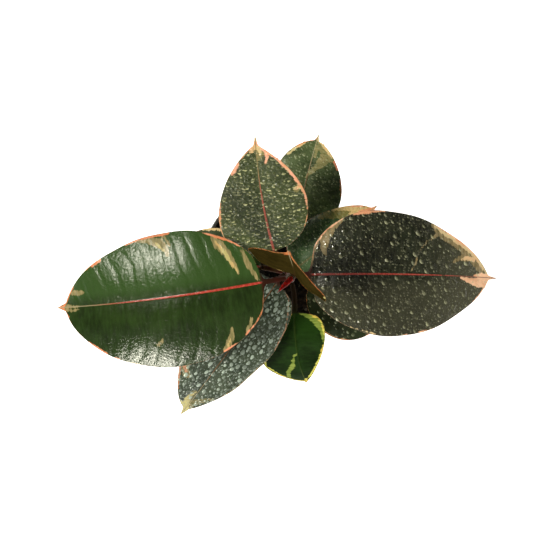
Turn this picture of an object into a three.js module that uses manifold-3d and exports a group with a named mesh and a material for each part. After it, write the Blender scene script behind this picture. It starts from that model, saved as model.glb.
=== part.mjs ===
// A potted ruby rubber plant: ten leathery leaves on one upright stem, with a red bud sheath at its tip,
// in a plastic nursery pot filled with soil. Millimetres, +Z up.
// The origin is the centre of the underside of the pot, on the surface that the pot stands on.
import * as THREE from "three";
import { mergeVertices } from "three/addons/utils/BufferGeometryUtils.js";
import Module from "manifold-3d";

const wasm = await Module();
wasm.setup();

// Pot
const POT_HEIGHT = 140;
const RIM_RADIUS = 80;
const RIM_BAND = 13;
const RIM_STEP = 2.5;
const BASE_RADIUS = 57;
const POT_WALL = 1.8;
const FOOT_WIDTH = 7;
const CENTRE_PAD = 22;
const CHANNEL_LIFT = 3;
const PRESS_SLOPE = 2;
const EDGE_ROUND = 1.5;
const DRAIN_HOLES = 8;
const DRAIN_RADIUS = 4.5;
const DRAIN_SIDES = 16;
const POT_SIDES = 48;

// Soil: its top waves gently on rings between the wall and the stem
const SOIL_HEIGHT = 122;
const SOIL_WAVE = 1.6;
const SOIL_WAVES_ROUND = 3;
const SOIL_WAVE_TWIST = 9;
const SOIL_WAVE_RADII = [60, 46, 32, 18];
const GAP = 0.3;

// Stem: its bow is how far its middle stands off the straight line from the soil to its tip
const STEM_FOOT = 72;
const STEM_TOP = 322;
const STEM_LEAN = new THREE.Vector2(4, -11.5);
const STEM_BOW = new THREE.Vector2(3, -1.5);
const STEM_RADIUS_LOW = 6.2;
const STEM_RADIUS_HIGH = 3;
const NODE_SWELL = 0.7;
const NODE_REACH = 3;
const STEM_SIDES = 12;

// Bud sheath: a pointed red stipule rolled round the next leaf
const SHEATH_LENGTH = 32;
const SHEATH_RADIUS = 2.2;
const SHEATH_HEADING = 223;
const SHEATH_LIFT = [66, 58];
const SHEATH_STATIONS = [0, 0.12, 0.28, 0.46, 0.64, 0.8, 0.92, 1];
const SHEATH_POINT = 0.35;
const SHEATH_SIDES = 10;

// Leaves
const BLADE_THICKNESS = 0.9;
const STALK_RADIUS = 2.3;
const RIB_HALF_WIDTH = 2.6;
const RIB_DEPTH = 2.6;
const DRIP_TIP = 0.05;
const DRIP_REACH = 0.11;
const DRIP_CURVE = 0.9;
const TIP_HALF_WIDTH = 0.6;

// Three lines for each leaf. Angles are in degrees and lengths in millimetres.
//   at       height on the stem axis where the stalk starts
//   heading  compass angle of the blade's base, from +X towards +Y; veer turns the stalk's start away
//            from it, and turn is how far the blade swings on towards its tip
//   stalk, blade           lengths along the stalk and along the midrib
//   lift, rise, mid, tip   slope of the stalk's start and of the blade at its base, middle and tip
//   fold     how far each half stands up from the midrib; curl turns it down again towards the margin
//   roll     how far the blade is turned about its midrib, which raises its left half
//   left, right            widths of the two halves; broad gives where along the blade each is widest
//   base, apex             how pointed each half's base and the apex are, from 0.3, blunt, to 1, sharp
//   drip     half width of the pointed tip where it leaves the rounded apex
const LEAVES = {
  leaf_left: {
    at: 284, heading: 190.5, veer: 0, turn: -6.5, stalk: 28, blade: 193.2,
    lift: 66, rise: 12, mid: -12, tip: -36, fold: 10, curl: 34, roll: 0,
    left: 60, right: 55.2, broad: [0.446, 0.425], base: [0.48, 0.95], apex: 0.69, drip: 7,
  },
  leaf_right: {
    at: 272, heading: 1.5, veer: -11, turn: -5.7, stalk: 22, blade: 181,
    lift: 80, rise: 18, mid: -14, tip: -40, fold: 10, curl: 34, roll: 0,
    left: 55, right: 54, broad: [0.36, 0.43], base: [0.9, 0.3], apex: 0.9, drip: 3.6,
  },
  leaf_upper: {
    at: 245, heading: 107, veer: -40, turn: -13.3, stalk: 43, blade: 122.6,
    lift: 62, rise: 48, mid: 45, tip: 38, fold: 8, curl: 20, roll: -8,
    left: 39.5, right: 36.4, broad: [0.3, 0.46], base: [0.5, 0.5], apex: 0.75, drip: 3.6,
  },
  leaf_young: {
    at: 304, heading: 115, veer: 67, turn: 0, stalk: 18, blade: 122,
    lift: 52, rise: 97, mid: 80.5, tip: 73, fold: 23, curl: 25, roll: -58,
    left: 36.5, right: 33, broad: [0.62, 0.57], base: [0.35, 0.89], apex: 0.55, drip: 4,
  },
  leaf_lower_left: {
    at: 240, heading: 235.5, veer: 64, turn: -2.3, stalk: 17, blade: 159.8,
    lift: 66, rise: 12, mid: -12, tip: -38, fold: 14, curl: 30, roll: -28,
    left: 38.9, right: 44, broad: [0.36, 0.36], base: [0.33, 0.3], apex: 0.82, drip: 5,
  },
  leaf_upper_right: {
    at: 231, heading: 38, veer: 0, turn: 0, stalk: 12, blade: 90,
    lift: 60, rise: 22, mid: 14, tip: 0, fold: 14, curl: 25, roll: 0,
    left: 28, right: 28, broad: [0.32, 0.35], base: [0.4, 0.38], apex: 0.62, drip: 3.6,
  },
  leaf_upper_left: {
    at: 221, heading: 168.6, veer: 0, turn: -5, stalk: 28, blade: 84,
    lift: 40, rise: 10, mid: -5, tip: -25, fold: 8, curl: 25, roll: 0,
    left: 27, right: 26.5, broad: [0.5, 0.5], base: [0.5, 0.5], apex: 0.62, drip: 4,
  },
  leaf_front: {
    at: 200, heading: 266.5, veer: -26, turn: 31, stalk: 44.5, blade: 86.3,
    lift: 45, rise: 20, mid: -25, tip: -70, fold: -4, curl: 10, roll: 20,
    left: 27.7, right: 37, broad: [0.25, 0.61], base: [0.9, 0.38], apex: 1, drip: 3.3,
  },
  leaf_back: {
    at: 190, heading: 79.8, veer: 0, turn: -6.6, stalk: 31.5, blade: 103.2,
    lift: 45, rise: 20, mid: 5, tip: -12, fold: 8, curl: 25, roll: 0,
    left: 31.5, right: 35.6, broad: [0.54, 0.48], base: [0.5, 0.5], apex: 0.71, drip: 3.8,
  },
  leaf_lower_right: {
    at: 172, heading: -29, veer: 0, turn: -4, stalk: 30, blade: 84,
    lift: 50, rise: 12, mid: 0, tip: -25, fold: 8, curl: 25, roll: 0,
    left: 31, right: 35, broad: [0.5, 0.5], base: [0.5, 0.5], apex: 0.62, drip: 4,
  },
};

const STALK_STATIONS = [0, 0.25, 0.5, 0.75];
const BLADE_STATIONS = [
  0, 0.012, 0.035, 0.075, 0.13, 0.2, 0.28, 0.37, 0.46, 0.55, 0.64, 0.73, 0.81, 0.875, 0.92, 0.955, 1,
];
const HALF_SHARES = [1, 0.6];
const SPINE_STEPS = 200;

const LEAF_GREEN = new THREE.MeshStandardMaterial({ color: 0x35472a, roughness: 0.35, metalness: 0 });
const STEM_BROWN = new THREE.MeshStandardMaterial({ color: 0x4c3a26, roughness: 0.7, metalness: 0 });
const SHEATH_RED = new THREE.MeshStandardMaterial({ color: 0x7a221c, roughness: 0.4, metalness: 0 });
const SOIL_BROWN = new THREE.MeshStandardMaterial({ color: 0x1d1510, roughness: 1, metalness: 0 });
const POT_BLACK = new THREE.MeshStandardMaterial({ color: 0x141414, roughness: 0.5, metalness: 0 });

const radians = THREE.MathUtils.degToRad;
const lerp = THREE.MathUtils.lerp;

// A geometry from vertices and triangles.
function geometryOf(vertices, triangles) {
  const geometry = new THREE.BufferGeometry();
  geometry.setAttribute("position", new THREE.Float32BufferAttribute(vertices, 3));
  geometry.setIndex(triangles);
  return geometry;
}

// The closed skin over a row of rings with equal numbers of points, listed clockwise as seen from
// behind the first ring. Faces before the index half are split along one diagonal and the rest along
// the other one, so that the upper and the lower face of a blade are split alike.
function skin(rings, half = 0) {
  const count = rings[0].length;
  const middles = [rings[0], rings.at(-1)].map((ring) =>
    ring.reduce((sum, point) => sum.add(point), new THREE.Vector3()).divideScalar(count),
  );
  const vertices = [...rings.flat(), ...middles].flatMap((point) => point.toArray());
  const first = rings.length * count;
  const last = first - count;
  const triangles = [];
  for (let k = 0; k < count; k += 1) {
    const next = (k + 1) % count;
    triangles.push(first, next, k, first + 1, last + k, last + next);
    for (let row = 0; row < last; row += count) {
      const [a, b, c, d] = [row + k, row + next, row + count + next, row + count + k];
      triangles.push(...(k < half ? [a, b, c, a, c, d] : [a, b, d, b, c, d]));
    }
  }
  return geometryOf(vertices, triangles);
}

// A manifold solid from a geometry, and a geometry from a manifold solid.
function solidOf(geometry) {
  const bare = geometry.clone();
  bare.deleteAttribute("normal");
  bare.deleteAttribute("uv");
  const merged = mergeVertices(bare, 1e-4);
  return new wasm.Manifold(
    new wasm.Mesh({
      numProp: 3,
      vertProperties: new Float32Array(merged.attributes.position.array),
      triVerts: new Uint32Array(merged.index.array),
    }),
  );
}

function geometryFrom(solid) {
  const mesh = solid.getMesh();
  return geometryOf(mesh.vertProperties, Array.from(mesh.triVerts));
}

// The curve through first at u = 0, middle at u = 0.5 and last at u = 1.
function parabola(u, first, middle, last) {
  return first + (4 * middle - 3 * first - last) * u + (2 * first - 4 * middle + 2 * last) * u * u;
}

function stemPoint(z) {
  const t = Math.max(0, (z - SOIL_HEIGHT) / (STEM_TOP - SOIL_HEIGHT));
  const bow = Math.sin(Math.PI * t);
  return new THREE.Vector3(STEM_LEAN.x * t + STEM_BOW.x * bow, STEM_LEAN.y * t + STEM_BOW.y * bow, z);
}

function stemRadius(z) {
  const t = THREE.MathUtils.clamp((z - SOIL_HEIGHT) / (STEM_TOP - SOIL_HEIGHT), 0, 1);
  return lerp(STEM_RADIUS_LOW, STEM_RADIUS_HIGH, t);
}

// The stem is a tube of level rings, with a swelling where each leaf grows from it.
function stemGeometry(extra) {
  const heights = [[STEM_FOOT, 0], [SOIL_HEIGHT, 0], [STEM_TOP, 0]];
  for (const leaf of Object.values(LEAVES)) {
    heights.push([leaf.at - NODE_REACH, 0], [leaf.at, NODE_SWELL], [leaf.at + NODE_REACH, 0]);
  }
  heights.sort((one, other) => one[0] - other[0]);
  const rings = heights.map(([z, swell]) => {
    const radius = stemRadius(z) + swell + extra;
    return Array.from({ length: STEM_SIDES }, (_, k) => {
      const angle = (2 * Math.PI * k) / STEM_SIDES;
      return stemPoint(z).add(new THREE.Vector3(radius * Math.cos(angle), radius * Math.sin(angle), 0));
    });
  });
  return skin(rings);
}

// The direction with the given heading and slope, in degrees.
function direction(heading, slope) {
  const [h, e] = [radians(heading), radians(slope)];
  return new THREE.Vector3(Math.cos(e) * Math.cos(h), Math.cos(e) * Math.sin(h), Math.sin(e));
}

// Points of the stalk and midrib at equal steps, added up from the stem's axis outwards.
function leafSpine(leaf) {
  const step = (leaf.stalk + leaf.blade) / SPINE_STEPS;
  const points = [stemPoint(leaf.at)];
  for (let i = 0; i < SPINE_STEPS; i += 1) {
    const run = (i + 0.5) * step;
    const s = Math.min(run / leaf.stalk, 1);
    const u = Math.max((run - leaf.stalk) / leaf.blade, 0);
    const slope = s < 1 ? lerp(leaf.lift, leaf.rise, s) : parabola(u, leaf.rise, leaf.mid, leaf.tip);
    const heading = leaf.heading + leaf.veer * (s - 1) + leaf.turn * u;
    points.push(points.at(-1).clone().addScaledVector(direction(heading, slope), step));
  }
  return (run) => {
    const place = Math.min(run / step, SPINE_STEPS - 1e-6);
    const i = Math.floor(place);
    return points[i].clone().lerp(points[i + 1], place - i);
  };
}

// Share of the full half width at u: a rounded base, the widest point at broad, and a rounded apex.
function outline(u, broad, base, apex) {
  const v = Math.min(u / (1 - DRIP_TIP), 1);
  const peak = base / (base + apex);
  const w = v ** (Math.log(peak) / Math.log(broad));
  return (w / peak) ** base * (Math.max(1 - w, 0) / (1 - peak)) ** apex;
}

// Half width of the blade at u, with the narrow drip tip past the rounded apex.
function halfWidth(leaf, u, side) {
  const width = side > 0 ? leaf.left : leaf.right;
  const half = side > 0 ? 0 : 1;
  const drip = leaf.drip * Math.min((1 - u) / DRIP_REACH, 1) ** DRIP_CURVE;
  const swell = outline(u, leaf.broad[half], leaf.base[half], leaf.apex) * width;
  return Math.max(swell, drip, TIP_HALF_WIDTH);
}

// Each half of a blade's section is an arc that leaves the midrib at the fold angle and turns down
// steadily by the curl angle over the leaf's full half width.
function sectionPoint(leaf, reach, side) {
  const fold = radians(leaf.fold);
  const bend = radians(leaf.curl) / (side > 0 ? leaf.left : leaf.right);
  const across = (Math.sin(fold) - Math.sin(fold - bend * reach)) / bend;
  const height = (Math.cos(fold - bend * reach) - Math.cos(fold)) / bend;
  return [side * across, height];
}

// One ring of a leaf: the upper face from the left margin to the right one, then the lower face back.
function leafRing(leaf, spine, s, u) {
  const run = leaf.stalk * s + leaf.blade * u;
  const slope = s < 1 ? lerp(leaf.lift, leaf.rise, s) : parabola(u, leaf.rise, leaf.mid, leaf.tip);
  const heading = leaf.heading + leaf.veer * (s - 1) + leaf.turn * u;
  const forward = direction(heading, slope);
  const level = direction(heading + 90, 0);
  const raised = forward.clone().cross(level);
  const roll = radians(leaf.roll);
  const left = level.clone().multiplyScalar(Math.cos(roll)).addScaledVector(raised, Math.sin(roll));
  const up = forward.clone().cross(left);
  const place = (across, height) =>
    spine(run).addScaledVector(left, across).addScaledVector(up, height);
  if (u === 0) {
    const count = 4 * HALF_SHARES.length + 6;
    return Array.from({ length: count }, (_, k) => {
      const angle = ((k + 0.5) * 2 * Math.PI) / count;
      return place(STALK_RADIUS * Math.cos(angle), STALK_RADIUS * Math.sin(angle));
    });
  }
  const upper = [];
  for (const side of [1, -1]) {
    const width = halfWidth(leaf, u, side);
    const rib = Math.min(RIB_HALF_WIDTH, width / 3);
    const reaches = [...HALF_SHARES.map((share) => share * width), rib];
    const points = reaches.map((reach) => sectionPoint(leaf, reach, side));
    upper.push(...(side > 0 ? [...points, [0, 0]] : points.toReversed()));
  }
  const middle = HALF_SHARES.length + 1;
  const depth = lerp(RIB_DEPTH, 0, Math.sqrt(u));
  const lower = upper.map(([across, height], i) => {
    return [across, height - BLADE_THICKNESS - (i === middle ? depth : 0)];
  });
  return [...upper, ...lower.toReversed()].map(([across, height]) => place(across, height));
}

// A leaf is its stalk and blade grown as one, cut off where it meets the stem.
function leafGeometry(leaf, stemSolid) {
  const spine = leafSpine(leaf);
  const rings = [
    ...STALK_STATIONS.map((s) => leafRing(leaf, spine, s, 0)),
    ...BLADE_STATIONS.map((u) => leafRing(leaf, spine, 1, u)),
  ];
  const half = 2 * HALF_SHARES.length + 3;
  return geometryFrom(solidOf(skin(rings, half)).subtract(stemSolid));
}

// The bud sheath stands level on the stem's tip, swells a little above its foot and runs out in a point.
function sheathGeometry() {
  const rings = [];
  const point = stemPoint(STEM_TOP).add(new THREE.Vector3(0, 0, GAP));
  let reached = 0;
  for (const t of SHEATH_STATIONS) {
    const forward = direction(SHEATH_HEADING, lerp(...SHEATH_LIFT, t));
    point.addScaledVector(forward, (t - reached) * SHEATH_LENGTH);
    reached = t;
    const radius = Math.max(SHEATH_RADIUS * (1 + 0.5 * t) * (1 - t ** 1.6), SHEATH_POINT);
    const left = direction(SHEATH_HEADING + 90, 0);
    const up = t === 0 ? direction(SHEATH_HEADING + 180, 0) : forward.clone().cross(left);
    rings.push(
      Array.from({ length: SHEATH_SIDES }, (_, k) => {
        const angle = (2 * Math.PI * k) / SHEATH_SIDES;
        return point
          .clone()
          .addScaledVector(left, radius * Math.cos(angle))
          .addScaledVector(up, radius * Math.sin(angle));
      }),
    );
  }
  return skin(rings);
}

// Radius of the pot's outer wall at height z, and of its inner wall.
function outerRadius(z) {
  return lerp(BASE_RADIUS, RIM_RADIUS - RIM_STEP, z / POT_HEIGHT);
}

function innerRadius(z) {
  return outerRadius(z) - POT_WALL;
}

// The pot is turned round its axis: a foot ring and a pad in the middle stand on the ground, and the
// channel between them is raised, with drainage holes through it.
function potGeometry() {
  const band = POT_HEIGHT - RIM_BAND;
  const foot = BASE_RADIUS - FOOT_WIDTH;
  const floor = CHANNEL_LIFT + POT_WALL;
  const profile = [
    [0, 0],
    [CENTRE_PAD, 0],
    [CENTRE_PAD + PRESS_SLOPE, CHANNEL_LIFT],
    [foot - PRESS_SLOPE, CHANNEL_LIFT],
    [foot, 0],
    [BASE_RADIUS - EDGE_ROUND, 0],
    [outerRadius(EDGE_ROUND), EDGE_ROUND],
    [outerRadius(band), band],
    [RIM_RADIUS - EDGE_ROUND / 2, band + EDGE_ROUND / 2],
    [RIM_RADIUS, POT_HEIGHT - EDGE_ROUND],
    [RIM_RADIUS - EDGE_ROUND, POT_HEIGHT],
    [innerRadius(POT_HEIGHT) + EDGE_ROUND / 2, POT_HEIGHT],
    [innerRadius(POT_HEIGHT), POT_HEIGHT - EDGE_ROUND],
    [innerRadius(floor), floor],
    [0, floor],
  ];
  const points = profile.map(([radius, z]) => new THREE.Vector2(radius, z));
  const turned = new THREE.LatheGeometry(points, POT_SIDES).rotateX(Math.PI / 2);
  let solid = solidOf(turned);
  const ring = (CENTRE_PAD + foot) / 2;
  for (let k = 0; k < DRAIN_HOLES; k += 1) {
    const angle = (2 * Math.PI * (k + 0.5)) / DRAIN_HOLES;
    const hole = new THREE.CylinderGeometry(DRAIN_RADIUS, DRAIN_RADIUS, 4 * floor, DRAIN_SIDES)
      .rotateX(Math.PI / 2)
      .translate(ring * Math.cos(angle), ring * Math.sin(angle), 0);
    solid = solid.subtract(solidOf(hole));
  }
  return geometryFrom(solid);
}

// The soil fills the pot up to below its rim, with an uneven top and a plain hole for the stem.
function soilGeometry() {
  const bottom = CHANNEL_LIFT + POT_WALL + GAP;
  const holeRadius = STEM_RADIUS_LOW + GAP;
  const topRadius = innerRadius(SOIL_HEIGHT) - 2 * GAP;
  const rows = [
    [innerRadius(bottom) - 2 * GAP, bottom, 0],
    [topRadius, SOIL_HEIGHT, 0],
    ...SOIL_WAVE_RADII.map((radius) => [radius, SOIL_HEIGHT, SOIL_WAVE]),
    [holeRadius, SOIL_HEIGHT, 0],
    [holeRadius, STEM_FOOT - GAP, 0],
  ];
  const rings = rows.map(([radius, z, wave]) =>
    Array.from({ length: POT_SIDES }, (_, k) => {
      const angle = (2 * Math.PI * k) / POT_SIDES;
      const swell = Math.sin(SOIL_WAVES_ROUND * angle + radius / SOIL_WAVE_TWIST);
      const height = z + wave * swell * Math.sin((Math.PI * radius) / topRadius);
      return new THREE.Vector3(radius * Math.cos(angle), radius * Math.sin(angle), height);
    }),
  );
  return skin(rings);
}

// Adds one named piece to the plant.
function piece(name, geometry, material) {
  geometry.computeVertexNormals();
  const mesh = new THREE.Mesh(geometry, material);
  mesh.name = name;
  return mesh;
}

const group = new THREE.Group();
const stemSolid = solidOf(stemGeometry(GAP));
group.add(piece("pot", potGeometry(), POT_BLACK));
group.add(piece("soil", soilGeometry(), SOIL_BROWN));
group.add(piece("stem", stemGeometry(0), STEM_BROWN));
group.add(piece("bud_sheath", sheathGeometry(), SHEATH_RED));
for (const [name, leaf] of Object.entries(LEAVES)) {
  group.add(piece(name, leafGeometry(leaf, stemSolid), LEAF_GREEN));
}

export default group;
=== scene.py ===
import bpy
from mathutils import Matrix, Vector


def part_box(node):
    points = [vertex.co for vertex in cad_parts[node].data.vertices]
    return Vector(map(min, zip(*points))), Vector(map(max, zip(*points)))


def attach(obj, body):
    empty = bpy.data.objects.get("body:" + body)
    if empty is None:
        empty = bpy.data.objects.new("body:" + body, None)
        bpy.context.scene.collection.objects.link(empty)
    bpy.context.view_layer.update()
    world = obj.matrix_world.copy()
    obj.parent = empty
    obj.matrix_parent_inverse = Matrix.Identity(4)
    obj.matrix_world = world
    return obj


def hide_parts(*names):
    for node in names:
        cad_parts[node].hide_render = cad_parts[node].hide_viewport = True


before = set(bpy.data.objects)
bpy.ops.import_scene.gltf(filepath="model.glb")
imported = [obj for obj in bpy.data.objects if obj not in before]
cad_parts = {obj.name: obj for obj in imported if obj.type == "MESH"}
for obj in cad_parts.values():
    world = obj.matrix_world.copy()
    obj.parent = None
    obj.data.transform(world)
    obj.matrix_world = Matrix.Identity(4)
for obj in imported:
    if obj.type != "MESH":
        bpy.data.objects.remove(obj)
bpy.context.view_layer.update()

from types import SimpleNamespace

import bpy
import numpy as np

# Camera: it hangs over the plant and looks straight down, a little left of the pot's middle. Its focal
# length is the one that gives the photograph's square frame its scale.
PHOTO_SIZE = 533
FOCAL_LENGTH_IN_PIXELS = 990
SENSOR_MM = 36
CAMERA_PLACE = (-0.0155, -0.0015, 1.125)

camera_data = bpy.data.cameras.new("camera")
camera_data.sensor_width = SENSOR_MM
camera_data.lens = SENSOR_MM * FOCAL_LENGTH_IN_PIXELS / PHOTO_SIZE
camera = bpy.data.objects.new("camera", camera_data)
camera.location = CAMERA_PLACE
bpy.context.scene.collection.objects.link(camera)
bpy.context.scene.camera = camera
bpy.context.scene.view_settings.view_transform = "Standard"

# Light: two warm soft lights, a stronger one from the left and a weaker one from the lower right, weak
# light from all round, and pale panels that only show as gloss on the leaves.
KEY_COLOUR = (1.0, 0.95, 0.80)
KEY_SPREAD_DEGREES = 14
AROUND_STRENGTH = 0.05
AROUND_COLOUR = (0.9, 0.96, 1.0)
PANEL_DISTANCE = 2.2
PANEL_AIM = (0, 0, 0.27)
PANEL_COLOUR = (1.0, 0.97, 0.82)


def aimed(heading, height):
    """Rotation of a lamp that stands at that compass heading and height in degrees and looks at the
    middle of the scene: a lamp shines along its -Z, so it is tipped by 90 degrees less the height
    and then turned to the heading."""
    return (0.0, np.radians(90 - height), np.radians(heading))


def hang_panel(name, heading, height, size, strength):
    """A panel lamp at PANEL_DISTANCE from the plant, seen only as a reflection. Its size is given up
    and down first, then sideways, and its strength is the brightness of its face."""
    lamp = bpy.data.lights.new(name, "AREA")
    lamp.color = PANEL_COLOUR
    lamp.shape = "RECTANGLE"
    lamp.size, lamp.size_y = size
    lamp.energy = strength * size[0] * size[1] * np.pi
    panel = bpy.data.objects.new(name, lamp)
    h, e = np.radians(heading), np.radians(height)
    way = np.array([np.cos(e) * np.cos(h), np.cos(e) * np.sin(h), np.sin(e)])
    panel.location = way * PANEL_DISTANCE + np.array(PANEL_AIM)
    panel.rotation_euler = aimed(heading, height)
    panel.visible_camera = False
    panel.visible_diffuse = False
    bpy.context.scene.collection.objects.link(panel)


def hang_key(name, heading, height, strength):
    """A soft lamp so far off that its rays run side by side. It isn't seen as a reflection."""
    lamp = bpy.data.lights.new(name, "SUN")
    lamp.energy = strength
    lamp.color = KEY_COLOUR
    lamp.angle = np.radians(KEY_SPREAD_DEGREES)
    key = bpy.data.objects.new(name, lamp)
    key.rotation_euler = aimed(heading, height)
    key.visible_glossy = False
    bpy.context.scene.collection.objects.link(key)


hang_key("key_left", heading=180, height=62, strength=3.3)
hang_key("key_front", heading=-59, height=53, strength=1.6)
hang_panel("panel_left", heading=149, height=51, size=(0.36, 0.34), strength=125)
hang_panel("panel_front", heading=242, height=31, size=(0.26, 0.8), strength=110)
hang_panel("panel_right", heading=-20, height=38, size=(0.8, 1.2), strength=0.8)

world = bpy.data.worlds.new("around")
world.use_nodes = True
world.node_tree.nodes["Background"].inputs["Color"].default_value = (*AROUND_COLOUR, 1)
world.node_tree.nodes["Background"].inputs["Strength"].default_value = AROUND_STRENGTH
bpy.context.scene.world = world

# Floor: a wide sheet of white board that glows a little, so that the shadow on it stays faint.
FLOOR_HALF = 14.0
FLOOR_GLOW = 1.05


def put_together(name, points, faces, smooth=True):
    """A mesh object of that name from points and faces, linked to the scene."""
    mesh = bpy.data.meshes.new(name)
    mesh.from_pydata(np.asarray(points, float).reshape(-1, 3).tolist(), [], faces)
    mesh.polygons.foreach_set("use_smooth", np.full(len(mesh.polygons), smooth))
    mesh.update()
    thing = bpy.data.objects.new(name, mesh)
    bpy.context.scene.collection.objects.link(thing)
    return thing


def new_finish(name):
    """A material of that name, with its node tree and its Principled shader."""
    finish = bpy.data.materials.new(name)
    finish.use_nodes = True
    return finish, finish.node_tree, finish.node_tree.nodes["Principled BSDF"]


def paint(red, green, blue):
    """A colour read as 0 to 255 on a screen, as the light that it stands for."""
    screen = np.array([red, green, blue]) / 255
    light = np.where(screen <= 0.04045, screen / 12.92, ((screen + 0.055) / 1.055) ** 2.4)
    return (*light.tolist(), 1.0)


floor_corners = FLOOR_HALF * np.array([(-1, -1, 0), (1, -1, 0), (1, 1, 0), (-1, 1, 0)])
floor = put_together("floor", floor_corners, [(0, 1, 2, 3)])
board, board_tree, board_shader = new_finish("white_board")
board_shader.inputs["Base Color"].default_value = paint(238, 238, 238)
board_shader.inputs["Roughness"].default_value = 0.9
board_shader.inputs["Emission Color"].default_value = (1, 1, 1, 1)
board_shader.inputs["Emission Strength"].default_value = FLOOR_GLOW
floor.data.materials.append(board)

# Pot: a nursery pot of thin black plastic, blown in one piece, with a stepped rim, a foot ring and a
# ring of drainage holes in the raised channel of its base.
POT_LOW, POT_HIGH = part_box("pot")
POT_HEIGHT = POT_HIGH[2] - POT_LOW[2]
POT_SIDES = 144
RIM_RADIUS = POT_HIGH[0]
RIM_BAND = 0.013
RIM_STEP = 0.0025
BASE_RADIUS = 0.057
POT_WALL = 0.0018
FOOT_WIDTH = 0.007
CENTRE_PAD = 0.022
CHANNEL_LIFT = 0.003
DRAIN_HOLES = 8
DRAIN_RADIUS = 0.0045


def outer_radius(z):
    """Radius of the pot's outer wall at height z, on a straight line from its base to its top."""
    return BASE_RADIUS + (RIM_RADIUS - RIM_STEP - BASE_RADIUS) * z / POT_HEIGHT


def inner_radius(z):
    """Radius of the pot's inner wall at height z."""
    return outer_radius(z) - POT_WALL


def rounded(corners, steps=5):
    """A profile whose corners (radius, height, rounding) are curves: each corner is left and met at
    its rounding's distance, and between the two runs a parabola that the corner pulls out."""
    places = np.array([corner[:2] for corner in corners], float)
    profile = [places[:1]]
    for i in range(1, len(places) - 1):
        before, here, after = places[i - 1 : i + 2]
        back, on = before - here, after - here
        reach = min(corners[i][2], 0.45 * np.linalg.norm(back), 0.45 * np.linalg.norm(on))
        start = here + back / np.linalg.norm(back) * reach
        end = here + on / np.linalg.norm(on) * reach
        t = np.linspace(0, 1, steps)[:, None]
        profile.append((1 - t) ** 2 * start + 2 * t * (1 - t) * here + t**2 * end)
    profile.append(places[-1:])
    return np.vstack(profile)


def ring_faces(rows, around, first_pole=None, last_pole=None):
    """Faces between rows of points that go round: four-sided ones from row to row, and a fan to
    a pole at either end."""
    i, j = np.meshgrid(np.arange(rows - 1), np.arange(around), indexing="ij")
    k = (j + 1) % around
    quads = np.stack([i * around + j, i * around + k, (i + 1) * around + k, (i + 1) * around + j], -1)
    faces = quads.reshape(-1, 4).tolist()
    j = np.arange(around)
    k = (j + 1) % around
    last = (rows - 1) * around
    if first_pole is not None:
        faces += np.stack([np.full(around, first_pole), k, j], -1).tolist()
    if last_pole is not None:
        faces += np.stack([np.full(around, last_pole), last + j, last + k], -1).tolist()
    return faces


def turn(profile, sides):
    """Points and faces of a profile of (radius, height) turned round the upright axis. The profile
    starts and ends on the axis, and each of these ends is one pole point."""
    angle = 2 * np.pi * np.arange(sides) / sides
    rings = profile[1:-1]
    x = rings[:, :1] * np.cos(angle)
    y = rings[:, :1] * np.sin(angle)
    z = np.repeat(rings[:, 1:], sides, 1)
    points = np.stack([x, y, z], -1).reshape(-1, 3)
    poles = [(0, 0, profile[0][1]), (0, 0, profile[-1][1])]
    return np.vstack([points, poles]), ring_faces(len(rings), sides, len(points), len(points) + 1)


def repeated(faces, count, step):
    """The faces of one shape, again for each of count like shapes whose points follow each other in
    lots of step points."""
    lots = step * np.arange(count)[:, None, None]
    result = []
    for corners in (3, 4):
        alike = np.array([face for face in faces if len(face) == corners], int)
        result += (alike + lots).reshape(-1, corners).tolist()
    return result


def cut_away(piece, cutter):
    """Cuts the cutter's shape out of the piece for good, and deletes the cutter."""
    cut = piece.modifiers.new("cut", "BOOLEAN")
    cut.operation = "DIFFERENCE"
    cut.object = cutter
    cut.solver = "EXACT"
    graph = bpy.context.evaluated_depsgraph_get()
    result = bpy.data.meshes.new_from_object(piece.evaluated_get(graph))
    piece.modifiers.clear()
    piece.data = result
    bpy.data.objects.remove(cutter)


def add_node(tree, kind, settings=None, inputs=None):
    """Adds a shader node. The inputs are numbers, colours or other nodes' outputs."""
    new = tree.nodes.new("ShaderNode" + kind)
    for option, value in (settings or {}).items():
        setattr(new, option, value)
    for label, value in (inputs or {}).items():
        if isinstance(value, bpy.types.NodeSocket):
            tree.links.new(value, new.inputs[label])
        else:
            new.inputs[label].default_value = value
    return new


def sum_up(tree, operation, one, other=0.0, third=0.0):
    """The output of a maths node."""
    return add_node(tree, "Math", {"operation": operation}, {0: one, 1: other, 2: third}).outputs[0]


def ramp_up(tree, value, low, high, start=0.0, end=1.0):
    """A smooth step: start below low, end above high."""
    inputs = {"Value": value, "From Min": low, "From Max": high, "To Min": start, "To Max": end}
    return add_node(tree, "MapRange", {"interpolation_type": "SMOOTHSTEP"}, inputs).outputs["Result"]


def lay_over(tree, share, under, over):
    """The colour under, with the colour over laid on it where share is 1."""
    return add_node(tree, "Mix", {"data_type": "RGBA"}, {0: share, 6: under, 7: over}).outputs[2]


def speckle(tree, where, size, detail=3.0, roughness=0.55):
    """Noise from 0 to 1 with grains of about that size in metres."""
    inputs = {"Vector": where, "Scale": 1 / size, "Detail": detail, "Roughness": roughness}
    return add_node(tree, "TexNoise", None, inputs).outputs[0]


def stretch(tree, where, along):
    """The place where, stretched by the factors along the three axes."""
    return add_node(tree, "Mapping", None, {"Vector": where, "Scale": along}).outputs["Vector"]


def stand_out(tree, shader, height, depth, strength=1.0):
    """Bumps of that depth in metres, from a height of 0 to 1."""
    inputs = {"Height": height, "Distance": depth, "Strength": strength}
    tree.links.new(add_node(tree, "Bump", None, inputs).outputs["Normal"], shader.inputs["Normal"])


def object_place(tree):
    """The place on the object, in metres."""
    return add_node(tree, "TexCoord").outputs["Object"]


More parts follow.
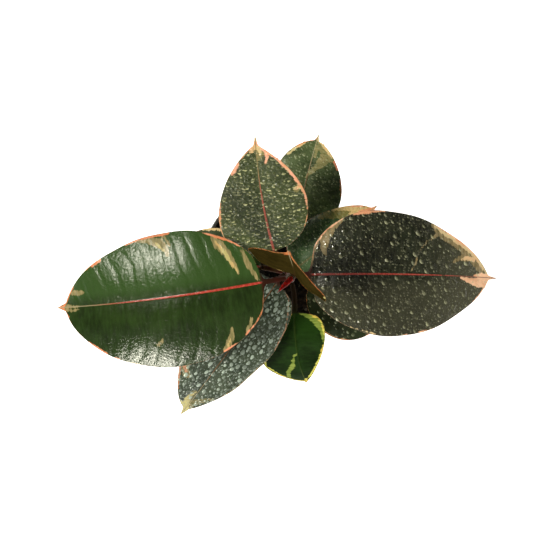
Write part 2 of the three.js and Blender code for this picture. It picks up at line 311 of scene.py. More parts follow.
floor_top = CHANNEL_LIFT + POT_WALL
band_low = POT_HEIGHT - RIM_BAND
foot_inside = BASE_RADIUS - FOOT_WIDTH
pot_profile = rounded([
    (0, 0, 0),
    (CENTRE_PAD, 0, 0.0006),
    (CENTRE_PAD + 0.002, CHANNEL_LIFT, 0.0008),
    (foot_inside - 0.002, CHANNEL_LIFT, 0.0008),
    (foot_inside, 0, 0.0006),
    (BASE_RADIUS, 0, 0.0022),
    (outer_radius(0.008), 0.008, 0.0006),
    (outer_radius(0.009) + 0.0005, 0.009, 0.0004),
    (outer_radius(0.012) + 0.0005, 0.012, 0.0004),
    (outer_radius(0.013), 0.013, 0.0006),
    (outer_radius(band_low) - 0.0001, band_low, 0.0008),
    (RIM_RADIUS - 0.0006, band_low, 0.0009),
    (RIM_RADIUS, POT_HEIGHT, 0.0012),
    (inner_radius(POT_HEIGHT), POT_HEIGHT, 0.0012),
    (inner_radius(POT_HEIGHT - RIM_BAND), POT_HEIGHT - RIM_BAND, 0.0015),
    (inner_radius(floor_top), floor_top, 0.002),
    (0, floor_top, 0),
])
pot = put_together("nursery_pot", *turn(pot_profile, POT_SIDES))
hole_angles = 2 * np.pi * (np.arange(DRAIN_HOLES) + 0.5) / DRAIN_HOLES
hole_ring = (CENTRE_PAD + foot_inside) / 2
plug_profile = np.array([(0, -0.01), (DRAIN_RADIUS, -0.01), (DRAIN_RADIUS, 0.012), (0, 0.012)])
plug_points, plug_faces = turn(plug_profile, 32)
plugs = [plug_points + hole_ring * np.array([np.cos(a), np.sin(a), 0]) for a in hole_angles]
plug_faces = repeated(plug_faces, DRAIN_HOLES, len(plug_points))
cut_away(pot, put_together("plugs", np.vstack(plugs), plug_faces))
pot.data.polygons.foreach_set("use_smooth", np.full(len(pot.data.polygons), True))
sharp = pot.modifiers.new("sharp_edges", "WEIGHTED_NORMAL")
sharp.keep_sharp = True


def pot_finish():
    """Black plastic: a fine grain from the mould, faint rings, dust near the foot and scuffs."""
    finish, tree, shader = new_finish("black_plastic")
    place = object_place(tree)
    height = add_node(tree, "SeparateXYZ", None, {"Vector": place}).outputs["Z"]
    cloud = speckle(tree, place, 0.03, 5)
    dust = sum_up(tree, "MULTIPLY", ramp_up(tree, height, 0.055, 0.0), ramp_up(tree, cloud, 0.42, 0.68))
    scuff = ramp_up(tree, speckle(tree, stretch(tree, place, (1, 1, 0.15)), 0.004, 4), 0.6, 0.72, 0, 0.35)
    colour = lay_over(tree, scuff, paint(9, 9, 10), paint(26, 25, 24))
    colour = lay_over(tree, sum_up(tree, "MULTIPLY", dust, 0.5), colour, paint(72, 60, 48))
    tree.links.new(colour, shader.inputs["Base Color"])
    tree.links.new(sum_up(tree, "MULTIPLY_ADD", dust, 0.3, 0.38), shader.inputs["Roughness"])
    rings = sum_up(tree, "SINE", sum_up(tree, "MULTIPLY", height, 2 * np.pi / 0.0021))
    grain = speckle(tree, place, 0.0006, 2)
    stand_out(tree, shader, sum_up(tree, "MULTIPLY_ADD", rings, 0.12, grain), 0.00012, 0.6)
    return finish


pot.data.materials.clear()
pot.data.materials.append(pot_finish())
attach(pot, "root")
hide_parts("pot")

# Soil: dark potting mix of peat, bark and a little perlite, filled in to below the rim. Its fine top
# waves gently, and the coarser bits lie sunk in it.
SOIL_LOW, SOIL_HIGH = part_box("soil")
SOIL_HEIGHT = 0.122
SOIL_WAVE = 0.0016
SOIL_GAP = 0.0003
STEM_HOLE = 0.0064
HOLE_BOTTOM = 0.072
SOIL_SIDES = 200
SOIL_RINGS = 60


def ripple(x, y, size, seed, count=9):
    """Uneven waves of about that size in metres, from -1 to 1: the mean of count sines whose
    directions, lengths and phases are drawn from the seed."""
    draw = np.random.default_rng(seed)
    heading = draw.uniform(0, 2 * np.pi, count)
    wave = 2 * np.pi / (size * draw.uniform(0.7, 1.5, count))
    phase = draw.uniform(0, 2 * np.pi, count)
    x, y = np.asarray(x)[..., None], np.asarray(y)[..., None]
    waves = np.sin(wave * (x * np.cos(heading) + y * np.sin(heading)) + phase)
    return waves.sum(-1) / np.sqrt(count)


def soil_top(x, y):
    """Height of the soil at a place: level, with three gentle waves round the stem that die out at
    the wall, and finer unevenness."""
    radius, angle = np.hypot(x, y), np.arctan2(y, x)
    inside = np.sin(np.pi * np.clip(radius / SOIL_HIGH[0], 0, 1))
    wave = SOIL_WAVE * np.sin(3 * angle + radius / 0.009) * inside
    lumps = 0.0007 * ripple(x, y, 0.009, 11) + 0.0004 * ripple(x, y, 0.0035, 12)
    return SOIL_HEIGHT + wave + lumps * np.clip((SOIL_HIGH[0] - radius) / 0.004, 0, 1)


wall_radius = inner_radius(SOIL_HEIGHT) - SOIL_GAP
radii = np.linspace(wall_radius, STEM_HOLE, SOIL_RINGS)
angle = 2 * np.pi * np.arange(SOIL_SIDES) / SOIL_SIDES
x, y = radii[:, None] * np.cos(angle), radii[:, None] * np.sin(angle)
top_rows = np.stack([x, y, soil_top(x, y)], -1)
bottom_z = floor_top + SOIL_GAP


def level_row(radius, z):
    """One level ring of points."""
    return np.stack([radius * np.cos(angle), radius * np.sin(angle), np.full(SOIL_SIDES, z)], -1)[None]


soil_rows = np.concatenate([
    level_row(inner_radius(bottom_z) - 0.0006, bottom_z),
    level_row(wall_radius, SOIL_HEIGHT - 0.004),
    top_rows,
    level_row(STEM_HOLE, HOLE_BOTTOM),
])
soil_points = np.vstack([soil_rows.reshape(-1, 3), [(0, 0, bottom_z), (0, 0, HOLE_BOTTOM)]])
ring_count = SOIL_SIDES * len(soil_rows)
soil_faces = ring_faces(len(soil_rows), SOIL_SIDES, ring_count, ring_count + 1)
soil = put_together("potting_mix", soil_points, soil_faces)


def soil_finish():
    """Damp peat with brown crumbs of two sizes, rough, and deeply uneven. It is near black: partly the
    peat's own colour, partly painted shade under the leaves.
    """
    finish, tree, shader = new_finish("damp_peat")
    place = object_place(tree)
    crumbs = speckle(tree, place, 0.004, 6, 0.7)
    grit = add_node(tree, "TexVoronoi", None, {"Vector": place, "Scale": 420.0}).outputs["Distance"]
    colour = lay_over(tree, ramp_up(tree, crumbs, 0.35, 0.7), paint(8, 6, 5), paint(30, 21, 15))
    tree.links.new(colour, shader.inputs["Base Color"])
    shader.inputs["Roughness"].default_value = 0.95
    shader.inputs["Specular IOR Level"].default_value = 0.06
    stand_out(tree, shader, sum_up(tree, "MULTIPLY_ADD", grit, -0.5, crumbs), 0.0015)
    return finish


soil.data.materials.append(soil_finish())
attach(soil, "root")
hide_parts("soil")

GOLDEN = (1 + 5**0.5) / 2
PEBBLE = np.array(
    [(-1, GOLDEN, 0), (1, GOLDEN, 0), (-1, -GOLDEN, 0), (1, -GOLDEN, 0), (0, -1, GOLDEN), (0, 1, GOLDEN),
     (0, -1, -GOLDEN), (0, 1, -GOLDEN), (GOLDEN, 0, -1), (GOLDEN, 0, 1), (-GOLDEN, 0, -1), (-GOLDEN, 0, 1)]
) / np.hypot(1, GOLDEN)
PEBBLE_FACES = [
    (0, 11, 5), (0, 5, 1), (0, 1, 7), (0, 7, 10), (0, 10, 11), (1, 5, 9), (5, 11, 4), (11, 10, 2),
    (10, 7, 6), (7, 1, 8), (3, 9, 4), (3, 4, 2), (3, 2, 6), (3, 6, 8), (3, 8, 9), (4, 9, 5),
    (2, 4, 11), (6, 2, 10), (8, 6, 7), (9, 8, 1),
]


def strew(name, count, size, shape, finish, seed):
    """Bits lying in the soil: count twenty-sided pebbles, each pushed out of shape, scaled by a size
    drawn between the two given and by shape, turned at random, and sunk by a third."""
    draw = np.random.default_rng(seed)
    radius = np.sqrt(draw.uniform((STEM_HOLE + 0.003) ** 2, (wall_radius - 0.004) ** 2, count))
    turn_by = draw.uniform(0, 2 * np.pi, count)
    x, y = radius * np.cos(turn_by), radius * np.sin(turn_by)
    scale = draw.uniform(*size, count)[:, None, None] * np.array(shape)
    scale = scale * draw.uniform(0.7, 1.3, (count, 1, 3))
    points = PEBBLE * draw.uniform(0.75, 1.2, (count, len(PEBBLE), 1)) * scale
    heading = draw.uniform(0, 2 * np.pi, count)[:, None]
    tip = draw.normal(0, 0.35, count)[:, None]
    px, py, pz = points[..., 0], points[..., 1], points[..., 2]
    px, pz = px * np.cos(tip) - pz * np.sin(tip), px * np.sin(tip) + pz * np.cos(tip)
    px, py = px * np.cos(heading) - py * np.sin(heading), px * np.sin(heading) + py * np.cos(heading)
    sit = soil_top(x, y) + 0.3 * scale[:, 0, 2]
    points = np.stack([px + x[:, None], py + y[:, None], pz + sit[:, None]], -1)
    bits = put_together(name, points, repeated(PEBBLE_FACES, count, len(PEBBLE)), smooth=False)
    bits.data.materials.append(finish)
    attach(bits, "root")


def crumb_finish(name, dark, pale, roughness):
    """Bits of one stuff in two shades: the shade changes from bit to bit and within a bit."""
    finish, tree, shader = new_finish(name)
    place = object_place(tree)
    shade = speckle(tree, place, 0.006, 4, 0.7)
    colour = lay_over(tree, ramp_up(tree, shade, 0.35, 0.65), dark, pale)
    tree.links.new(colour, shader.inputs["Base Color"])
    shader.inputs["Roughness"].default_value = roughness
    shader.inputs["Specular IOR Level"].default_value = 0.06
    stand_out(tree, shader, speckle(tree, place, 0.0008, 3), 0.0003)
    return finish


peat = crumb_finish("peat", paint(8, 6, 5), paint(22, 15, 11), 0.95)
strew("peat_crumbs", 1500, (0.0007, 0.0022), (1, 1, 0.8), peat, 21)
# The bark bits are darker than bark: partly their own colour, partly painted shade under the leaves.
bark = crumb_finish("bark", paint(13, 9, 6), paint(34, 24, 17), 0.85)
strew("bark_bits", 260, (0.0018, 0.0045), (1.3, 0.7, 0.35), bark, 22)
perlite = crumb_finish("perlite", paint(60, 56, 48), paint(96, 90, 78), 0.9)
strew("perlite_bits", 90, (0.0009, 0.0021), (1, 1, 0.9), perlite, 23)

# Stem: one woody shoot, brown below and green near its tip, with a ring scar and a slight swelling
# where each leaf grows from it.
STEM_SIDES = 48
STEM_ROWS = 420
LOWEST_ROW = 0.110
STEM_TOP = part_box("stem")[1][2]
STEM_LEAN = np.array([0.004, -0.0115])
STEM_BOW = np.array([0.003, -0.0015])
STEM_RADIUS_LOW = 0.0062
STEM_RADIUS_HIGH = 0.003
SWELLING = 0.0007
SCAR = 0.00035
SCAR_ABOVE = 0.0032
NODE_HEIGHTS = np.array([0.172, 0.190, 0.200, 0.221, 0.231, 0.240, 0.245, 0.272, 0.284, 0.304])


def stem_axis(z):
    """Middle of the stem at height z: straight up to the soil's top, then on a line that leans, with
    a bow of half a sine wave."""
    z = np.asarray(z, float)
    t = np.clip((z - SOIL_HEIGHT) / (STEM_TOP - SOIL_HEIGHT), 0, None)
    side = t[..., None] * STEM_LEAN + np.sin(np.pi * t)[..., None] * STEM_BOW
    return np.concatenate([side, z[..., None]], -1)


def stem_radius(z):
    """Radius of the stem at height z: an even taper, with a swelling and a fine ring at each leaf."""
    t = np.clip((z - SOIL_HEIGHT) / (STEM_TOP - SOIL_HEIGHT), 0, 1)
    radius = STEM_RADIUS_LOW + (STEM_RADIUS_HIGH - STEM_RADIUS_LOW) * t
    off = z[..., None] - NODE_HEIGHTS
    swell = SWELLING * np.exp(-((off / 0.0022) ** 2)).sum(-1)
    ring = SCAR * np.exp(-(((off - SCAR_ABOVE) / 0.0005) ** 2)).sum(-1)
    return radius + swell + ring


z = np.linspace(LOWEST_ROW, STEM_TOP - 0.0007, STEM_ROWS)
z = np.concatenate([[HOLE_BOTTOM], z, [STEM_TOP - 0.0002, STEM_TOP]])
shrink = np.concatenate([np.ones(STEM_ROWS + 1), [0.9, 0.6]])
angle = 2 * np.pi * np.arange(STEM_SIDES) / STEM_SIDES
ridges = 1 + 0.018 * np.sin(5 * angle + 40 * z[:, None]) + 0.012 * np.sin(9 * angle - 60 * z[:, None])
reach = (stem_radius(z) * shrink)[:, None] * ridges
around_axis = np.stack([reach * np.cos(angle), reach * np.sin(angle), 0 * reach], -1)
stem_points = stem_axis(z)[:, None] + around_axis
stem_points = np.vstack([stem_points.reshape(-1, 3), stem_axis(z[[0, -1]])])
stem_poles = STEM_SIDES * len(z)
stem = put_together("main_stem", stem_points, ring_faces(len(z), STEM_SIDES, stem_poles, stem_poles + 1))


def stem_finish():
    """Bark: brown and finely cracked low down, turning to smooth reddish green towards the tip, with
    pale corky dots."""
    finish, tree, shader = new_finish("young_bark")
    place = object_place(tree)
    height = add_node(tree, "SeparateXYZ", None, {"Vector": place}).outputs["Z"]
    fibre = speckle(tree, stretch(tree, place, (1, 1, 0.12)), 0.0012, 5, 0.65)
    cloud = speckle(tree, place, 0.012, 3)
    bark = lay_over(tree, ramp_up(tree, fibre, 0.3, 0.7), paint(34, 24, 16), paint(78, 60, 42))
    shoot = lay_over(tree, ramp_up(tree, cloud, 0.4, 0.6), paint(46, 42, 22), paint(70, 32, 24))
    young = ramp_up(tree, sum_up(tree, "MULTIPLY_ADD", cloud, 0.05, height), 0.225, 0.295)
    colour = lay_over(tree, young, bark, shoot)
    dots = add_node(tree, "TexVoronoi", None, {"Vector": stretch(tree, place, (1, 1, 0.6)), "Scale": 260.0})
    dot = ramp_up(tree, dots.outputs["Distance"], 0.24, 0.16)
    dotted = sum_up(tree, "MULTIPLY", dot, ramp_up(tree, young, 1.0, 0.0, 0.0, 0.7))
    colour = lay_over(tree, dotted, colour, paint(150, 128, 98))
    tree.links.new(colour, shader.inputs["Base Color"])
    tree.links.new(sum_up(tree, "MULTIPLY_ADD", young, -0.3, 0.75), shader.inputs["Roughness"])
    stand_out(tree, shader, sum_up(tree, "MULTIPLY_ADD", dot, 0.6, fibre), 0.0004, 0.8)
    return finish


stem.data.materials.append(stem_finish())
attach(stem, "root")
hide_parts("stem")

# Lower right leaf: the lowest one, half hidden. Each leaf is one leathery blade on a round stalk that
# grows from the stem. Its blade is folded up a little along a stout midrib, its margins turn down, and
# side veins run out to them in shallow grooves. The shared shape and finish of all leaves come first.
THICKNESS = 0.0009
STALK_RADIUS = 0.0023
RIB_DEPTH = 0.0026
DRIP_TIP = 0.05
DRIP_REACH = 0.11
DRIP_CURVE = 0.9
TIP_HALF_WIDTH = 0.0006
SPINE_STEPS = 200
STALK_STEP = 0.0018
SIDE_STEP = 0.00145
FEWEST_STEPS = 14
VEIN_SPACING = 0.0112
VEIN_LEAN = np.tan(np.radians(24))
CHANNEL_DEPTH, CHANNEL_WIDTH = 0.0002, 0.0035
RIDGE_HEIGHT, RIDGE_WIDTH = 0.00055, 0.0009
UNEVEN_HEIGHT, UNEVEN_SIZE = 0.00035, 0.05
WAVE_LENGTH = 0.047
GRID_STEP = 0.0014


def bend(u, first, middle, last):
    """The parabola that is first at u = 0, middle at u = 0.5 and last at u = 1."""
    return first + (4 * middle - 3 * first - last) * u + (2 * first - 4 * middle + 2 * last) * u * u


def direction(heading, slope):
    """Unit vectors with that compass heading and slope in degrees."""
    h, e = np.radians(heading), np.radians(slope)
    return np.stack([np.cos(e) * np.cos(h), np.cos(e) * np.sin(h), np.sin(e)], -1)


def leaf_course(leaf, run):
    """Heading and slope of the leaf's middle at a distance along it: on the stalk both change evenly,
    and on the blade the heading swings on evenly while the slope follows a parabola."""
    s = np.clip(run / leaf.stalk, 0, 1)
    u = np.clip((run - leaf.stalk) / leaf.blade, 0, 1)
    on_stalk = leaf.lift + (leaf.rise - leaf.lift) * s
    slope = np.where(s < 1, on_stalk, bend(u, leaf.rise, leaf.mid, leaf.tip))
    return leaf.heading + leaf.veer * (s - 1) + leaf.turn * u, slope


def leaf_middle(leaf, run):
    """Points along the stalk and midrib: short steps in the course's direction, added up."""
    step = (leaf.stalk + leaf.blade) / SPINE_STEPS
    halfway = (np.arange(SPINE_STEPS) + 0.5) * step
    heading, slope = leaf_course(leaf, halfway)
    places = np.cumsum(np.vstack([stem_axis(leaf.at), direction(heading, slope) * step]), 0)
    ends = np.arange(SPINE_STEPS + 1) * step
    return np.stack([np.interp(run, ends, places[:, axis]) for axis in range(3)], -1)


def share_of_width(u, broad, base, apex):
    """How wide the blade is at u, as a share of its full half width: v to the powers base and apex,
    bent so that the widest place is at broad."""
    v = np.clip(u / (1 - DRIP_TIP), 0, 1)
    peak = base / (base + apex)
    w = v ** (np.log(peak) / np.log(broad))
    return (w / peak) ** base * (np.clip(1 - w, 0, 1) / (1 - peak)) ** apex


def half_width(leaf, u, side):
    """Half width of the blade at u on one side, with the narrow drip tip past the rounded apex."""
    left = share_of_width(u, leaf.broad[0], leaf.base[0], leaf.apex) * leaf.left
    right = share_of_width(u, leaf.broad[1], leaf.base[1], leaf.apex) * leaf.right
    drip = leaf.drip * np.clip((1 - u) / DRIP_REACH, 0, 1) ** DRIP_CURVE
    return np.maximum(np.maximum(np.where(side > 0, left, right), drip), TIP_HALF_WIDTH)


def leaf_frame(leaf, run):
    """Middle point, left vector and up vector of the leaf at a distance along it."""
    heading, slope = leaf_course(leaf, run)
    forward, level = direction(heading, slope), direction(heading + 90, 0 * slope)
    raised = np.cross(forward, level)
    roll = np.radians(leaf.roll)
    left = level * np.cos(roll) + raised * np.sin(roll)
    return leaf_middle(leaf, run), left, np.cross(forward, left)


def blade_place(leaf, u, reach):
    """Points of the blade's plain upper face and the vectors that stand out of it. Reach is the
    distance from the midrib, positive to the left. Each half is an arc that leaves the midrib at the
    fold angle and turns down by the curl angle over the full half width."""
    middle, left, up = leaf_frame(leaf, leaf.stalk + leaf.blade * u)
    side = np.where(reach >= 0, 1.0, -1.0)
    fold = np.radians(leaf.fold)
    rate = np.radians(leaf.curl) / np.where(reach >= 0, leaf.left, leaf.right)
    tilt = fold - rate * np.abs(reach)
    across = side * (np.sin(fold) - np.sin(tilt)) / rate
    height = (np.cos(tilt) - np.cos(fold)) / rate
    point = middle + left * across[..., None] + up * height[..., None]
    out = up * np.cos(tilt)[..., None] - left * (side * np.sin(tilt))[..., None]
    return point, out


def relief(leaf, u, reach):
    """Height of the fine relief on the upper face: a groove along every side vein between rounded
    pillows, a low ridge on the midrib in a shallow channel, and gentle unevenness."""
    along, off = u * leaf.blade, np.abs(reach)
    wide = half_width(leaf, u, reach)
    lean = off * VEIN_LEAN * (0.35 + 1.1 * u**2) * (0.6 + 0.4 * off / wide.max())
    wander = 0.22 * ripple(along, reach, UNEVEN_SIZE, leaf.seed)
    phase = (along - lean) / VEIN_SPACING + wander + np.where(reach >= 0, 0.0, 0.37)
    pillow = 0.5 + 0.5 * np.cos(2 * np.pi * phase)
    fade = np.clip(off / 0.005, 0, 1) * np.clip((wide - off) / 0.007, 0, 1) * np.clip(u / 0.06, 0, 1)
    fade *= np.clip((1 - u) / 0.15, 0, 1)
    veins = -leaf.vein_depth * (pillow**7 - 0.2) * fade
    channel = -CHANNEL_DEPTH * np.exp(-((off / CHANNEL_WIDTH) ** 2)) * np.clip(u / 0.05, 0, 1)
    ridge = RIDGE_HEIGHT * np.exp(-((off / (RIDGE_WIDTH * (1.1 - 0.6 * u))) ** 2))
    ridge = ridge * np.clip((0.9 - u) / 0.3, 0, 1)
    uneven = UNEVEN_HEIGHT * ripple(along, reach, UNEVEN_SIZE, leaf.seed + 1)
    uneven = uneven * np.clip(off / 0.01, 0, 1)
    wavy = leaf.wave * np.sin(2 * np.pi * (along / WAVE_LENGTH + leaf.seed * 0.13) + np.sign(reach))
    wavy = wavy * (off / wide) ** 3 * np.clip(u / 0.1, 0, 1) * np.clip((1 - u) / 0.1, 0, 1)
    return veins + channel + ridge + uneven + wavy


def mark_field(leaf, marks, u, reach):
    """How far inside the nearest of the drawn marks a place lies, in metres, negative outside. A mark
    is a list of (u, share of the half width, its own half width in millimetres), joined by straight
    strokes whose width changes evenly. Shares are negative on the right half of the blade."""
    along = u * leaf.blade
    deepest = np.full(np.broadcast(along, reach).shape, -0.02)
    for mark in marks:
        for start, end in zip(mark[:-1], mark[1:]):
            ends = []
            for at, share, _ in (start, end):
                wide = half_width(leaf, np.array(at), np.array(np.sign(share) or 1.0))
                ends.append((at * leaf.blade, share * float(wide)))
            (x0, y0), (x1, y1) = ends
            dx, dy = x1 - x0, y1 - y0
            t = np.clip(((along - x0) * dx + (reach - y0) * dy) / (dx * dx + dy * dy), 0, 1)
            distance = np.hypot(along - x0 - t * dx, reach - y0 - t * dy)
            inside = 0.001 * (start[2] + (end[2] - start[2]) * t) - distance
            deepest = np.maximum(deepest, inside)
    return deepest


def margin_distance(leaf, u, reach):
    """Distance from the blade's margin, in metres: what is left of the half width, made shorter where
    the margin runs at a slant."""
    wide = half_width(leaf, u, reach)
    ahead = half_width(leaf, np.clip(u + 0.01, 0, 1), reach)
    slant = (ahead - wide) / (0.01 * leaf.blade)
    return (wide - np.abs(reach)) / np.sqrt(1 + slant**2)


def note_fields(piece, leaf, u, reach, **extra):
    """Writes the fields that the leaf's finish reads onto the piece's points, and its map in metres."""
    fields = {
        "olive": mark_field(leaf, leaf.olive, u, reach),
        "cream": mark_field(leaf, leaf.cream, u, reach),
        "pink": mark_field(leaf, leaf.pink, u, reach),
        "margin": margin_distance(leaf, u, reach),
        "rib": np.abs(reach),
        "along": u,
        **extra,
    }
    for label, values in fields.items():
        piece.data.attributes.new(label, "FLOAT", "POINT").data.foreach_set("value", np.ravel(values))
    corners = np.zeros(len(piece.data.loops), int)
    piece.data.loops.foreach_get("vertex_index", corners)
    flat = np.stack([np.ravel(u * leaf.blade), np.ravel(reach)], -1)[corners]
    piece.data.uv_layers.new(name="map").data.foreach_set("uv", flat.ravel())


def with_ends(values, ends):
    """A grid of values row by row, and after it those of the pole points."""
    return np.concatenate([np.ravel(values), ends])


def leaf_mesh(name, leaf):
    """One leaf as a closed skin of rings: on the stalk a circle, on the blade the upper face from the
    left margin to the right one and the lower face back. The first part of the blade blends the two,
    and the lower face carries the midrib's ridge."""
    stalk_rows = np.linspace(0.0008, leaf.stalk, int(leaf.stalk / STALK_STEP), endpoint=False)
    blade_rows = leaf.stalk + leaf.blade * np.linspace(0, 1, int(leaf.blade / GRID_STEP))
    run = np.concatenate([stalk_rows, blade_rows])
    u = np.clip((run - leaf.stalk) / leaf.blade, 0, 1)
    half_count = max(int(max(leaf.left, leaf.right) / SIDE_STEP), FEWEST_STEPS)
    t = np.linspace(0, 1, half_count + 1)
    share = t - 0.12 * np.sin(2 * np.pi * t)
    top = np.concatenate([share[:0:-1], -share])
    shares = np.concatenate([top, top[-2:0:-1]])
    under = np.concatenate([np.zeros(len(top)), np.ones(len(top) - 2)])
    around = len(shares)
    reach = shares * half_width(leaf, u[:, None], np.sign(shares)[None] + 0.5 * (shares == 0))
    point, out = blade_place(leaf, u[:, None] + 0 * reach, reach)
    off = np.abs(shares)
    thick = THICKNESS * np.sqrt(np.clip(1 - off**6, 0, 1)) * np.clip((1 - u[:, None]) / 0.02, 0.3, 1) ** 0.5
    rib = RIB_DEPTH * (1 - np.sqrt(u))[:, None] + 0.0004
    rib_below = rib * np.exp(-((reach / (0.0016 + 0.0012 * (1 - u[:, None]))) ** 2))
    height = relief(leaf, u[:, None] + 0 * reach, reach)
    point = point + out * (height - under * (thick + rib_below))[..., None]
    middle, left, up = leaf_frame(leaf, run)
    angle = 2 * np.pi * np.arange(around) / around
    flare = 1 + 0.25 * np.exp(-run / 0.004)
    groove = 1 - 0.12 * np.exp(-(((angle - np.pi / 2) / 0.5) ** 2))
    radius = STALK_RADIUS * flare[:, None] * groove
    circle = middle[:, None] + left[:, None] * (radius * np.cos(angle))[..., None]
    circle = circle + up[:, None] * (radius * np.sin(angle))[..., None]
    blade_share = np.clip(u / leaf.spread, 0, 1)[:, None, None]
    blade_share = blade_share**2 * (3 - 2 * blade_share)
    rings = circle + (point - circle) * blade_share
    poles = [rings[0].mean(0), rings[-1].mean(0)]
    rows = len(run)
    faces = ring_faces(rows, around, rows * around, rows * around + 1)
    leaf_piece = put_together(name, np.vstack([rings.reshape(-1, 3), poles]), faces)
    note_fields(
        leaf_piece, leaf, with_ends(u[:, None] + 0 * reach, [0, 1]), with_ends(reach, [0, 0]),
        under=with_ends(under + 0 * reach, [0, 0]),
        stalk=with_ends(1 - blade_share[..., 0] + 0 * reach, [1, 0]),
    )
    return leaf_piece


def dew(tree, where, leaf):
    """Fine dew in cells of about the leaf's dew size, one drop to a cell: how far a place is on a drop, how
    far on its pale crescent, which is a painted highlight, and how strong that drop is. The crescent is the
    part of the drop that the same drop, moved away from the side dew_way, leaves open."""
    cells = stretch(tree, where, (1 / leaf.dew_size[0], 1 / leaf.dew_size[1], 1))
    bend_by = {"Vector": cells, "Scale": 0.9, "Detail": 2.0}
    noise = add_node(tree, "TexNoise", {"noise_dimensions": "2D"}, bend_by)
    bent = {0: noise.outputs["Color"], 1: (0.9, 0.9, 0.0), 2: cells}
    bent = add_node(tree, "VectorMath", {"operation": "MULTIPLY_ADD"}, bent).outputs[0]
    moved = {0: bent, 1: (*leaf.dew_way, 0.0)}
    moved = add_node(tree, "VectorMath", {"operation": "ADD"}, moved).outputs[0]
    cell = add_node(tree, "TexVoronoi", {"voronoi_dimensions": "2D"}, {"Vector": bent, "Scale": 1.0})
    beside = add_node(tree, "TexVoronoi", {"voronoi_dimensions": "2D"}, {"Vector": moved, "Scale": 1.0})
    chance = add_node(tree, "SeparateColor", None, {"Color": cell.outputs["Color"]})
    radius = sum_up(tree, "MULTIPLY_ADD", chance.outputs["Red"], 0.3, 0.16)
    inside = sum_up(tree, "SUBTRACT", radius, cell.outputs["Distance"])
    open_side = sum_up(tree, "SUBTRACT", beside.outputs["Distance"], radius)
    drop = ramp_up(tree, inside, -0.05, 0.1)
    crescent = sum_up(tree, "MULTIPLY", drop, ramp_up(tree, open_side, -0.12, 0.08))
    strength = ramp_up(tree, chance.outputs["Green"], 0.25, 1.0)
    return drop, crescent, strength


